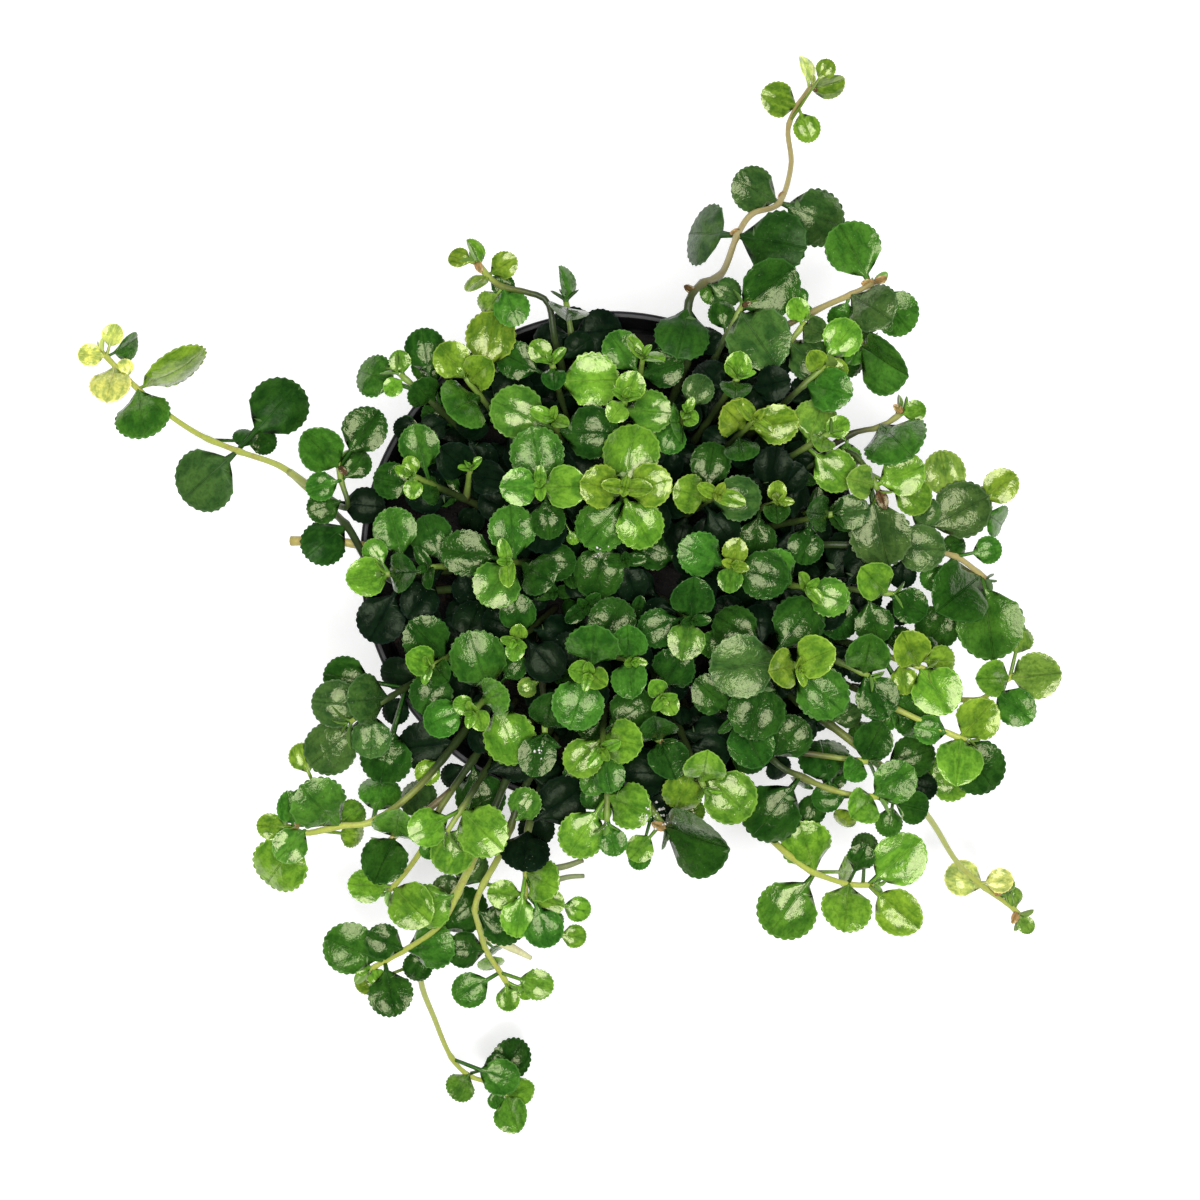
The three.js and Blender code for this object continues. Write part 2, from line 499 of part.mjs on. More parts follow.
// Points spread over a blade, for telling whether it is clear of its neighbours.
function feelers(leaf) {
  const points = [];
  for (const [share, count] of [[1, 16], [0.6, 9], [0.25, 4]]) {
    for (let k = 0; k < count; k++) {
      const a = (k / count) * 2 * Math.PI;
      const u = leaf.reach + share * leaf.radius * Math.cos(a);
      points.push(bladePoint(leaf, u, share * leaf.radius * Math.sin(a), 0));
    }
  }
  points.push(bladePoint(leaf, leaf.reach * 0.22, 0, 0));
  return points;
}

// Whether a point comes within the clearance of a leaf's blade.
function touchesBlade(p, leaf) {
  const d = p.clone().sub(leaf.base);
  const u = d.dot(leaf.along);
  const v = d.dot(leaf.across);
  const wide = leaf.radius + 0.9;
  const inBlade = (u - leaf.reach) ** 2 + v * v < wide * wide;
  const inWedge = u > 0 && u < leaf.reach && Math.abs(v) < 0.75 * u + 0.9;
  if (!inBlade && !inWedge) return false;
  return Math.abs(d.dot(leaf.up) - bend(leaf, u, v)) < LEAF_CLEAR;
}

// How far a point is from a stem.
function fromStem(p, shoot) {
  return nearestOn(shoot, p).distanceTo(p);
}

// Whether a point runs into the pot, the soil or the surface that the pot stands on.
function touchesPot(p) {
  const r = Math.hypot(p.x, p.y);
  if (p.z < 1.2) return true;
  if (p.z > RIM_Z + 0.9) return false;
  if (r < 50 - 1) return p.z < soilTop(r) + 1.8;
  const outside = p.z > 76 ? RIM_R : BASE_R + ((49.3 - BASE_R) * p.z) / 76;
  return r < outside + 1;
}

// Whether a leaf is clear of the pot, of every other shoot's stem, and of every leaf placed so far.
function isClear(leaf, placed, shoots) {
  aim(leaf);
  const points = feelers(leaf);
  leaf.feelers = points;
  if (points.some(touchesPot)) return false;
  const node = leaf.shoot.node;
  const span = leaf.reach + leaf.radius + 2;
  for (const other of shoots) {
    if (other === leaf.shoot) continue;
    const blade = other.node === node ? points.slice(0, -1) : points;
    if (blade.some((p) => fromStem(p, other) < STEM_CLEAR)) return false;
  }
  for (const other of placed) {
    if (other.base.distanceTo(leaf.base) > span + other.reach + other.radius) continue;
    if (other.shoot === leaf.shoot) {
      const far = points.slice(0, 16).filter((p) => p.distanceTo(leaf.base) > 3.2);
      const near = (p) => p.distanceTo(other.base) > 3.2 && touchesBlade(p, other);
      if (far.some(near)) return false;
      continue;
    }
    if (points.some((p) => touchesBlade(p, other))) return false;
    if (other.feelers.some((p) => touchesBlade(p, leaf))) return false;
  }
  return true;
}

// Ways to bend a leaf clear of its neighbours, the mildest first: degrees of pitch, degrees of roll, size.
const BENDS = [];
for (const size of [1, 0.88, 0.76, 0.64]) {
  for (const roll of [0, 14, -14, 26, -26]) {
    for (const pitch of [0, -7, 7, -14, 14, -21, 21, -28, 28, -36, 36]) BENDS.push([pitch, roll, size]);
  }
}
BENDS.sort((a, b) => cost(a) - cost(b));

// How much a bend shows.
function cost([pitch, roll, size]) {
  return Math.abs(pitch) / 7 + Math.abs(roll) / 9 + (1 - size) * 22;
}

// The leaf as listed, or bent clear, or nothing where there is no room for it.
function fitLeaf(leaf, placed, shoots) {
  for (const [pitch, roll, size] of BENDS) {
    const bent = { ...leaf };
    bent.pitch += (pitch * Math.PI) / 180;
    bent.roll += (roll * Math.PI) / 180;
    bent.radius *= size;
    bent.reach *= size;
    if (isClear(bent, placed, shoots)) return bent;
  }
  return null;
}

// Which edge a leaf has.
function scallopsOf(leaf) {
  if (leaf.radius < SMALL_R) return SMALL_SCALLOPS;
  return LOW_TONES.includes(leaf.tone) ? LOW_SCALLOPS : SCALLOPS;
}

// A blade's solid: the scalloped outline, split crosswise into triangles alike on both faces.
function bladeSolid(leaf) {
  const edge = [[LEAF_ROOT, 0]];
  const scallops = scallopsOf(leaf);
  const side = (sign, [degrees, share]) => {
    const a = (degrees * Math.PI) / 180;
    const r = share * leaf.radius;
    edge.push([leaf.reach + r * Math.cos(a), sign * r * Math.sin(a)]);
  };
  for (const scallop of [...scallops].reverse()) side(-1, scallop);
  for (const scallop of scallops.slice(1)) side(1, scallop);
  const n = edge.length;
  const place = (lift) => edge.flatMap(([u, v]) => bladePoint(leaf, u, v, lift).toArray());
  const index = [];
  const face = (a, b, c) => index.push(a, b, c, n + a, n + c, n + b);
  face(0, 1, n - 1);
  for (let i = 1; i < n / 2; i++) {
    if (i + 1 < n - i) face(i, i + 1, n - i);
    if (i + 1 < n - i - 1) face(i + 1, n - i - 1, n - i);
  }
  for (let i = 0; i < n; i++) {
    const j = (i + 1) % n;
    index.push(n + i, n + j, j, n + i, j, i);
  }
  const g = new THREE.BufferGeometry();
  const both = [...place(LEAF_THICK / 2), ...place(-LEAF_THICK / 2)];
  g.setAttribute("position", new THREE.BufferAttribute(Float32Array.from(both), 3));
  g.setIndex(index);
  return solid(g);
}

// A stem's solid: a slim three-sided rod along its curve.
function stemSolid(shoot) {
  const ring = new THREE.Shape();
  for (let k = 0; k < STEM_SIDES; k++) {
    const a = (k / STEM_SIDES) * 2 * Math.PI;
    const [x, y] = [STEM_R * Math.cos(a), STEM_R * Math.sin(a)];
    if (k) ring.lineTo(x, y);
    else ring.moveTo(x, y);
  }
  const options = { steps: shoot.steps, bevelEnabled: false, extrudePath: shoot.curve };
  return solid(new THREE.ExtrudeGeometry(ring, options));
}

// The foliage's material, by the tone of a shoot's first leaf.
const TONES = {
  b: 0x6f9e2b,
  y: 0x9aae3a,
  w: 0xc3cc7a,
  o: 0x7d8a35,
  m: 0x3f7a2a,
  d: 0x244f22,
  k: 0x16301a,
  g: 0x4a6a48,
};
function foliageMaterial(tone) {
  return new THREE.MeshStandardMaterial({ color: TONES[tone], roughness: 0.35, metalness: 0 });
}

function potMaterial() {
  return new THREE.MeshStandardMaterial({ color: 0x141518, roughness: 0.45, metalness: 0 });
}

function soilMaterial() {
  return new THREE.MeshStandardMaterial({ color: 0x2a2019, roughness: 0.95, metalness: 0 });
}

// Reads the list into shoots, roots them, and lays every stem.
function makeShoots() {
  const shoots = SHOOTS.map(([name, parentName, path, leaves]) => ({ name, parentName, path, leaves }));
  for (const shoot of shoots) {
    shoot.parent = shoots.find((other) => other.name === shoot.parentName) || null;
    shoot.node = shoot.parent ? shoot.parent.name : shoot.name;
  }
  const rooted = shoots.filter((shoot) => !shoot.parent);
  placeRoots(rooted).forEach((root, i) => {
    rooted[i].root = root;
  });
  for (const shoot of shoots) makeStem(shoot);
  return shoots;
}

// Places the leaves, those nearest the tips first.
function makeLeaves(shoots) {
  const wanted = shoots.flatMap((shoot) => shoot.leaves.map((row) => makeLeaf(shoot, row)));
  const rank = (leaf) => Math.min(leaf.level, 4);
  wanted.sort((a, b) => rank(a) - rank(b));
  const placed = [];
  for (const leaf of wanted) {
    const fitted = fitLeaf(leaf, placed, shoots);
    if (fitted) placed.push(fitted);
  }
  return placed;
}

const shoots = makeShoots();
const leaves = makeLeaves(shoots);
const plant = new THREE.Group();
plant.name = "potted_pilea";
plant.add(meshOf("pot", makePot(), potMaterial()));
plant.add(meshOf("soil", makeSoil(shoots.filter((s) => s.root).map((s) => s.root)), soilMaterial()));
for (const shoot of shoots.filter((s) => !s.parent)) {
  const family = shoots.filter((s) => s.node === shoot.name);
  const stems = family.map(stemSolid);
  const blades = leaves.filter((leaf) => leaf.shoot.node === shoot.name).map(bladeSolid);
  const body = wasm.Manifold.union([...stems, ...blades]).simplify(0.04);
  plant.add(meshOf("leafy_stem_" + shoot.name, body, foliageMaterial(shoot.leaves[0][4])));
}

export default plant;
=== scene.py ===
# %% [markdown]
# # A potted pilea, seen from straight above
# The object is a small house plant in a plain black nursery pot: a mound of round, scalloped, glossy leaves
# in opposite pairs on soft stems, some of which arch over the rim and trail beside the pot.
# The packed CAD part gives every stem and blade its place. It could be dressed by shading its nodes, but they
# are angular, so each node gets a finer piece here, grown by the same rule from the same list of shoots.

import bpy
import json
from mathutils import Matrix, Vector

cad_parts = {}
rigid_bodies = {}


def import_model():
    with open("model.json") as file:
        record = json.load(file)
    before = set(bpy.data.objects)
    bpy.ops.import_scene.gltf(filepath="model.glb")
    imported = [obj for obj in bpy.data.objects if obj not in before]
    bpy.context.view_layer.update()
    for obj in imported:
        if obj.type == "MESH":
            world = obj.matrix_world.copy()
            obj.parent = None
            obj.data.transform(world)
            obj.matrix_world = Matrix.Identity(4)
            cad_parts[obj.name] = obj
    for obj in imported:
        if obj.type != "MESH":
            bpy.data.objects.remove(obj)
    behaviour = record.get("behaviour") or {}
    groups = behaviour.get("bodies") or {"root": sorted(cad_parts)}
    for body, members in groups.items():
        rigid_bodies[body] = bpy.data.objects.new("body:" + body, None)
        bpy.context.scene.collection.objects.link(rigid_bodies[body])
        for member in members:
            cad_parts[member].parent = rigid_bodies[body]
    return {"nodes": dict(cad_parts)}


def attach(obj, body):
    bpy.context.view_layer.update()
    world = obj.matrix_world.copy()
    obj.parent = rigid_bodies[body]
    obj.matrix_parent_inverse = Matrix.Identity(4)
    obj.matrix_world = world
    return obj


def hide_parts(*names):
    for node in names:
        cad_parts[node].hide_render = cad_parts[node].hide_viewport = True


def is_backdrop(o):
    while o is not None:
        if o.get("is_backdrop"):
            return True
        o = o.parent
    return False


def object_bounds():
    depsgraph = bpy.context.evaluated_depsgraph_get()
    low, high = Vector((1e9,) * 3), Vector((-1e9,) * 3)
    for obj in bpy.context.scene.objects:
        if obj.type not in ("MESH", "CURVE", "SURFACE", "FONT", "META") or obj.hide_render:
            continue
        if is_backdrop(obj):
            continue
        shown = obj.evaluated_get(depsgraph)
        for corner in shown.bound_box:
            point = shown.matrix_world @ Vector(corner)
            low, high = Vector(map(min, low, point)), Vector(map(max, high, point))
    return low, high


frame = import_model()
cad_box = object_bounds()

import copy
import json
import math
from types import SimpleNamespace

import bpy
import numpy as np

print("nodes in the frame:", len(frame["nodes"]))
print("CAD box in mm:", [[round(float(c) * 1000, 1) for c in corner] for corner in cad_box])

# %% [markdown]
# ## The camera
# The photograph looks straight down. The arcs of the rim that show fit one circle, and a 105 mm rim gives the
# scale. A camera could be fitted by trial, but a straight-down view has only a place, a height and an angle
# of view. The height is assumed, and the other two follow from the circle. What stands higher shows larger,
# so a pixel becomes a place only together with a height.

# %% From a pixel of the photograph to millimetres, and the camera
RIM_R, RIM_Z = 52.5, 90.0
RIM_PIXELS = (609.7, 560.5, 250.1)
IMAGE_MIDDLE = 600
EYE_ABOVE_RIM = 520.0
SENSOR, MM_PER_M = 36.0, 1000
PIXELS_PER_MM = RIM_PIXELS[2] / RIM_R
EYE_X = (IMAGE_MIDDLE - RIM_PIXELS[0]) / PIXELS_PER_MM
EYE_Y = (RIM_PIXELS[1] - IMAGE_MIDDLE) / PIXELS_PER_MM


def scale_at(z):
    """Pixels that a millimetre takes at height z: the scale at the rim, times the eye's distance to the rim
    over its distance to z."""
    return PIXELS_PER_MM * EYE_ABOVE_RIM / (EYE_ABOVE_RIM + RIM_Z - z)


def seen(px, py, z):
    """The point that shows at pixel (px, py) if it lies at height z: the pixel's step from the image's
    middle, over the scale, from the eye's axis."""
    s = scale_at(z)
    return np.array([EYE_X + (px - IMAGE_MIDDLE) / s, EYE_Y - (py - IMAGE_MIDDLE) / s, z])


lens = bpy.data.cameras.new("eye")
lens.sensor_width = SENSOR
half_width = IMAGE_MIDDLE / PIXELS_PER_MM
lens.lens = SENSOR * EYE_ABOVE_RIM / (2 * half_width)
camera = bpy.data.objects.new("eye", lens)
camera.location = (EYE_X / MM_PER_M, EYE_Y / MM_PER_M, (RIM_Z + EYE_ABOVE_RIM) / MM_PER_M)
bpy.context.collection.objects.link(camera)
bpy.context.scene.camera = camera
print("lens %.1f mm, %.0f mm above the floor" % (lens.lens, RIM_Z + EYE_ABOVE_RIM))

# %% [markdown]
# ## Shader maths as expressions
# A material is a net of nodes. Nodes could be made and linked one by one, but a formula is easier to read, so
# a small class stands for one output of a node, and its operators add Math nodes. Every other node is made by
# one method, which sets what the node is before it fills its sockets.

# %% A wire of a shader net, and the material that it belongs to


class Wire:
    """One output of a shader node. Each operator adds the Math node of that name to the same material."""

    def __init__(self, finish, socket):
        self.finish, self.socket = finish, socket

    def math(self, operation, *others):
        values = dict(enumerate((self, *others)))
        return self.finish.node("ShaderNodeMath", {"operation": operation}, values)

    def __add__(self, other):
        return self.math("ADD", other)

    def __sub__(self, other):
        return self.math("SUBTRACT", other)

    def __rsub__(self, other):
        return self.math("MULTIPLY_ADD", -1.0, other)

    def __mul__(self, other):
        return self.math("MULTIPLY", other)

    def __truediv__(self, other):
        return self.math("DIVIDE", other)

    def __pow__(self, other):
        return self.math("POWER", other)

    def __abs__(self):
        return self.math("ABSOLUTE")

    __radd__, __rmul__ = __add__, __mul__

    def step(self, low, high):
        """0 at low and 1 at high, smooth between them; low may be the larger."""
        values = {"Value": self, "From Min": low, "From Max": high}
        return self.finish.node("ShaderNodeMapRange", {"interpolation_type": "SMOOTHSTEP"}, values)


class Finish:
    """A material with one principled shader, whose plain values are set straight on its sockets."""

    def __init__(self, name, **plain):
        self.material = bpy.data.materials.new(name)
        self.material.use_nodes = True
        self.tree = self.material.node_tree
        self.shader = self.tree.nodes["Principled BSDF"]
        for key, value in plain.items():
            self.shader.inputs[key.replace("_", " ")].default_value = value

    def node(self, kind, settings=None, values=None, output=0):
        """A node of that type: its settings first, then its sockets by name or number, each with a wire or a
        plain value. The first two stops of a ramp are its ends."""
        made = self.tree.nodes.new(kind)
        for key, value in (settings or {}).items():
            if key == "ramp":
                for stop, tint in value[2:]:
                    made.color_ramp.elements.new(stop).color = tint
                ends = made.color_ramp.elements[0], made.color_ramp.elements[-1]
                for element, (stop, tint) in zip(ends, value[:2]):
                    element.position, element.color = stop, tint
            else:
                setattr(made, key, value)
        for key, value in (values or {}).items():
            self.put(made.inputs[key], value)
        return Wire(self, made.outputs[output])

    def put(self, socket, value):
        if isinstance(value, Wire):
            self.tree.links.new(value.socket, socket)
        else:
            socket.default_value = value

    def drive(self, **wires):
        """Feeds the shader's sockets of those names."""
        for key, wire in wires.items():
            self.put(self.shader.inputs[key.replace("_", " ")], wire)

    def mark(self, name, output="Fac"):
        """A value that the piece's points carry under that name."""
        return self.node("ShaderNodeAttribute", {"attribute_name": name}, output=output)

    def place(self):
        """The point's place on the object, in metres."""
        return self.node("ShaderNodeTexCoord", output="Object")

    def noise(self, where, scale, detail=2.0, rough=0.5, bent=0.0):
        values = {"Vector": where, "Scale": scale, "Detail": detail, "Roughness": rough, "Distortion": bent}
        return self.node("ShaderNodeTexNoise", values=values)

    def mix(self, share, a, b, way="MIX"):
        """Colour a where share is 0, colour b where it is 1."""
        settings = {"data_type": "RGBA", "blend_type": way}
        return self.node("ShaderNodeMix", settings, {0: share, 6: a, 7: b}, output=2)

    def times(self, base, r, g, b):
        """The colour base with its red, green and blue multiplied by r, g and b."""
        return self.mix(1.0, base, colour(r, g, b), "MULTIPLY")

    def relief(self, height, depth):
        """Bumps of that height field, depth metres for a height of 1."""
        values = {"Height": height, "Distance": depth, "Strength": 1.0}
        self.drive(Normal=self.node("ShaderNodeBump", values=values))


def colour(r, g, b):
    """A plain linear colour as a socket takes it."""
    return (r, g, b, 1.0)


print("operators on a wire:", ", ".join(k for k in vars(Wire) if k.startswith("__r")))

# %% [markdown]
# ## Floor and light
# The photograph stands the plant on plain white. Its leaves mirror something broad overhead in one or two
# clear patches each, yet the faint shadows on the floor have an edge. One lamp can't do both: a broad one
# blurs the shadows, and a small one leaves only specks of shine. So a soft box hangs over the plant, and a
# smaller lamp, a little towards the foot of the picture, gives light that no leaf mirrors. The sky isn't
# mirrored either, or it would lay a grey sheen on every leaf. The floor gives off a little light of its own,
# as a light table does, which keeps it pale between the stems.

# %% A white floor, a dim sky, a soft box overhead and a smaller lamp
FLOOR_GLOW, FLOOR_HALF, SKY_STRENGTH = 0.42, 1.6, 0.24
PLANT_MIDDLE = (0, 0, 0.08)
floor_finish = Finish("white floor", Roughness=0.9, Emission_Strength=FLOOR_GLOW)
speckle = floor_finish.noise(floor_finish.place(), 60.0)
floor_finish.drive(
    Base_Color=floor_finish.mix(speckle, colour(0.78, 0.78, 0.78), colour(0.82, 0.82, 0.82)),
    Emission_Color=floor_finish.mix(speckle, colour(0.98, 0.98, 0.98), colour(1, 1, 1)),
)
floor_mesh = bpy.data.meshes.new("floor")
corners = [(x * FLOOR_HALF, y * FLOOR_HALF, 0) for x, y in ((-1, -1), (1, -1), (1, 1), (-1, 1))]
floor_mesh.from_pydata(corners, [], [(0, 1, 2, 3)])
floor_mesh.materials.append(floor_finish.material)
floor = bpy.data.objects.new("floor", floor_mesh)
bpy.context.collection.objects.link(floor)
floor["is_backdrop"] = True

sky = bpy.data.worlds.new("dim sky")
sky.use_nodes = True
background = sky.node_tree.nodes["Background"]
background.inputs["Color"].default_value = colour(1, 1, 1)
background.inputs["Strength"].default_value = SKY_STRENGTH
sky.cycles_visibility.glossy = False
bpy.context.scene.world = sky


def soft_lamp(name, place, size, watts):
    """A square lamp of that size at a place, turned so that its face looks at the plant's middle."""
    data = bpy.data.lights.new(name, "AREA")
    data.size, data.energy = size, watts
    lamp = bpy.data.objects.new(name, data)
    lamp.location = place
    x, y, z = np.subtract(PLANT_MIDDLE, place)
    lamp.rotation_euler = (math.atan2(math.hypot(x, y), -z), 0, math.atan2(y, x) - math.pi / 2)
    bpy.context.collection.objects.link(lamp)
    return lamp


soft_lamp("soft box", place=(-0.02, 0.03, 1.2), size=0.8, watts=13.2)
unmirrored = soft_lamp("lamp for shadows", place=(0.10, -0.2, 1.2), size=0.16, watts=4.8)
unmirrored.visible_glossy = False
bpy.context.scene.view_settings.view_transform = "Standard"

# %% [markdown]
# ## From arrays to a mesh
# Each piece below is worked out as whole arrays: points in millimetres, faces as rows of point numbers, and
# marks that a finish can read, one value for each point. Blender's own modelling tools could build them one
# by one, but a plant repeats a few shapes hundreds of times, and arrays do that at once.

# %% Shells of points and faces, and the piece that they make


def shell(points, faces, finish=0, **marks):
    """Points in mm (n, 3), faces as a list of arrays with one width each, the number of its finish, and marks
    on the points."""
    return SimpleNamespace(points=np.asarray(points, float), faces=faces, finish=finish, marks=marks)


def spread_marks(shells, name, width):
    """One mark over several shells as one array of that many columns. A shell without it has zeros there."""
    rows = []
    for s in shells:
        value = np.asarray(s.marks.get(name, 0.0), float)
        value = value[:, None] if value.ndim == 1 else value
        rows.append(np.broadcast_to(value, (len(s.points), width)))
    return np.concatenate(rows)


def quads_between(rings, sides):
    """Faces between rings of points that follow one another: each point, the next on its ring, and both of
    those on the ring above."""
    k = np.arange(sides)
    j = (k + 1) % sides
    row = np.arange(rings - 1)[:, None] * sides
    return np.stack([row + k, row + j, row + sides + j, row + sides + k], axis=2).reshape(-1, 4)


def make_piece(name, shells, finishes, nodes=()):
    """A mesh object of all the shells, in metres. Edges whose two points share a crease mark stay sharp."""
    starts = np.cumsum([0] + [len(s.points) for s in shells])
    faces = [(f + k, s.finish) for s, k in zip(shells, starts) for f in s.faces]
    sizes = np.concatenate([np.full(len(f), f.shape[1]) for f, _ in faces])
    finish_of = np.concatenate([np.full(len(f), finish) for f, finish in faces])
    corners = np.concatenate([f.ravel() for f, _ in faces])
    mesh = bpy.data.meshes.new(name)
    mesh.vertices.add(starts[-1])
    mesh.vertices.foreach_set("co", (np.concatenate([s.points for s in shells]) / MM_PER_M).ravel())
    mesh.loops.add(len(corners))
    mesh.loops.foreach_set("vertex_index", corners.astype(np.int32))
    mesh.polygons.add(len(sizes))
    mesh.polygons.foreach_set("loop_start", (np.cumsum(sizes) - sizes).astype(np.int32))
    mesh.polygons.foreach_set("material_index", finish_of.astype(np.int32))
    mesh.update(calc_edges=True)
    mesh.polygons.foreach_set("use_smooth", np.ones(len(sizes), bool))
    for mark, width in (("tone", 4), ("rim", 1), ("under", 1), ("chance", 1), ("size", 1)):
        kind, field = ("FLOAT_COLOR", "color") if width == 4 else ("FLOAT", "value")
        layer = mesh.attributes.new(mark, kind, "POINT")
        layer.data.foreach_set(field, spread_marks(shells, mark, width).astype(np.float32).ravel())
    chart = mesh.uv_layers.new(name="blade")
    chart.data.foreach_set("uv", spread_marks(shells, "blade", 2)[corners].astype(np.float32).ravel())
    crease = spread_marks(shells, "crease", 1)[:, 0].astype(int)
    if crease.any():
        ends = np.empty(len(mesh.edges) * 2, np.int32)
        mesh.edges.foreach_get("vertices", ends)
        pair = crease[ends.reshape(-1, 2)]
        sharp = mesh.attributes.new("sharp_edge", "BOOLEAN", "EDGE")
        sharp.data.foreach_set("value", (pair[:, 0] & pair[:, 1]) > 0)
    if mesh.validate():
        print("mended faces in", name)
    for finish in finishes:
        mesh.materials.append(finish.material)
    piece = bpy.data.objects.new(name, mesh)
    bpy.context.collection.objects.link(piece)
    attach(piece, "root")
    if nodes:
        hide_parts(*nodes)
    return piece


def turned(profile, sides, lump=None):
    """A profile of (radius, height) carried round the vertical axis: x = r cos a, y = r sin a. Its two ends
    have radius 0 and become poles."""
    profile = np.asarray(profile, float)
    r, z = profile[1:-1, 0, None], profile[1:-1, 1, None]
    a = np.arange(sides) / sides * 2 * np.pi
    ring = np.stack([r * np.cos(a), r * np.sin(a), np.broadcast_to(z, (len(r), sides))], axis=2)
    points = np.concatenate([ring.reshape(-1, 3), [[0, 0, profile[0, 1]], [0, 0, profile[-1, 1]]]])
    if lump is not None:
        points[:, 2] += lump(points)
    k = np.arange(sides)
    j = (k + 1) % sides
    last = (len(r) - 1) * sides
    south, north = np.full(sides, len(points) - 2), np.full(sides, len(points) - 1)
    caps = [np.stack([j, k, south], axis=1), np.stack([last + k, last + j, north], axis=1)]
    return shell(points, [quads_between(len(r), sides), *caps])


print("pieces are made by make_piece, in metres, with their place in the mesh")

# %% [markdown]
# ## The pot
# A thin-walled pot of black moulded plastic: a foot ring, a slightly tapered wall, a step out to a band under
# the rim, and a small rolled lip. It could be a subdivided cylinder, but its section is known, so the section
# is turned about the axis, and the holes in the raised floor are cut with a Boolean modifier that is applied
# at once.

# %% The pot's section, turned, with six drain holes cut through
BASE_R = 36.6
DRAIN_R, DRAIN_RING_R, DRAIN_HOLES = 3.0, 22, 6
SHARP_ANGLE = math.radians(38)


def arc(cx, cz, r, start, end, count):
    """Points of a circle's arc in the section plane: centre plus r times (cos, sin) of an even run of
    angles, in degrees."""
    a = np.radians(np.linspace(start, end, count))
    return np.stack([cx + r * np.cos(a), cz + r * np.sin(a)], axis=1).tolist()


outside = [[0.0, 0.0], [12.8, 0.0], *arc(12.9, 0.9, 0.9, -90, -20, 4), [14.2, 1.7]]
outside += [*arc(15.2, 1.2, 0.8, 160, 90, 3), [29.0, 2.0], *arc(29.6, 1.2, 0.8, 90, 20, 3)]
outside += [[30.8, 0.3], [31.2, 0.0], [35.9, 0.0], *arc(36.0, 0.6, 0.6, -90, -8, 4)]
wall_z = np.linspace(3, 75.2, 30)
ripple = 0.05 * np.cos(wall_z * 2.09)
outside += np.stack([BASE_R + (wall_z - 0.6) / 75.4 * 12.65 + ripple, wall_z], axis=1).tolist()
outside += [[49.25, 76.0], arc(49.9, 76.6, 0.62, 195, 260, 3)[0], [50.3, 76.75]]
outside += [*arc(50.75, 77.35, 0.6, -80, -4, 4), [51.5, 79.0], [51.75, 82.0], [52.0, 85.0], [52.2, 87.4]]
outside += arc(51.75, 89.25, 0.75, -20, 100, 7)
inside = [[51.2, 89.9], [51.05, 89.4], [50.75, 86.0], [50.1, 78.7], [49.7, 78.1], [48.3, 77.3]]
inside += [[47.9, 76.4], [41.5, 39.0], [35.6, 4.3], [35.2, 3.6], [34.5, 3.4], [20.0, 3.4], [0.0, 3.4]]
pot_shell = turned(outside + inside, 144)

pot_finish = Finish("black nursery plastic", Specular_IOR_Level=0.35)
where = pot_finish.place()
dust = pot_finish.noise(where, 240.0, 4.0, 0.65)
stretched = pot_finish.node("ShaderNodeMapping", values={"Vector": where, "Scale": (1, 1, 14)})
scuffs = pot_finish.noise(stretched, 90.0, 3.0)
height_up = pot_finish.node("ShaderNodeSeparateXYZ", values={0: where}, output=2)
dusty = dust.step(0.56, 0.74) * (0.25 + height_up.step(0.074, 0.09) * 0.75)
plastic = pot_finish.mix(scuffs.step(0.35, 0.7), colour(0.006, 0.006, 0.007), colour(0.013, 0.013, 0.015))
pot_finish.drive(
    Base_Color=pot_finish.mix(dusty * 0.35, plastic, colour(0.11, 0.10, 0.085)),
    Roughness=0.34 + scuffs * 0.22 + dusty * 0.25,
)
pot_finish.relief(dust * 0.5 + scuffs * 0.8, 0.00012)

pot = make_piece("nursery_pot", [pot_shell], [pot_finish], ["pot"])
cutters = []
for turn in (np.arange(DRAIN_HOLES) + 0.5) / DRAIN_HOLES * 2 * np.pi:
    hole = turned([[0, -2.0], [DRAIN_R, -2.0], [DRAIN_R, 6.0], [0, 6.0]], 24)
    hole.points += [DRAIN_RING_R * math.cos(turn), DRAIN_RING_R * math.sin(turn), 0]
    cutters.append(hole)
starts = np.cumsum([0] + [len(h.points) for h in cutters])
cutter_faces = [row for h, k in zip(cutters, starts) for f in h.faces for row in (f + k).tolist()]
cutter_mesh = bpy.data.meshes.new("drain cutter")
cutter_mesh.from_pydata((np.concatenate([h.points for h in cutters]) / MM_PER_M).tolist(), [], cutter_faces)
cutter = bpy.data.objects.new("drain_cutter", cutter_mesh)
bpy.context.collection.objects.link(cutter)
cut = pot.modifiers.new("drain holes", "BOOLEAN")
cut.object, cut.operation, cut.solver = cutter, "DIFFERENCE", "EXACT"
graph = bpy.context.evaluated_depsgraph_get()
pierced = pot.evaluated_get(graph)
cut_mesh = bpy.data.meshes.new_from_object(pierced, preserve_all_data_layers=True, depsgraph=graph)
pot.modifiers.clear()
pot.data = cut_mesh
bpy.data.objects.remove(cutter)
pot.data.set_sharp_from_angle(angle=SHARP_ANGLE)
print("pot faces:", len(pot.data.polygons))

# %% [markdown]
# ## The soil
# Dark potting mix fills the pot to a little under the rim and shows between the outer stems. A flat disc with
# a rough texture would look like cloth from the side, so the top is real relief: a low mound, the same long
# lumps as in the part, and a sum of small waves whose directions turn from one to the next. Loose crumbs and
# a few white grains of perlite lie on it.

# %% The soil's relief, and crumbs scattered over it
SOIL_EDGE_Z, SOIL_MIDDLE_Z = 80.5, 83.0
CRUMBS, GRAINS = 900, 26
chance = np.random.default_rng(12)


def soil_top(r):
    """Height of the mound at radius r: it falls from the middle by the square of the radius."""
    return SOIL_MIDDLE_Z - (SOIL_MIDDLE_Z - SOIL_EDGE_Z) * (r / 49) ** 2


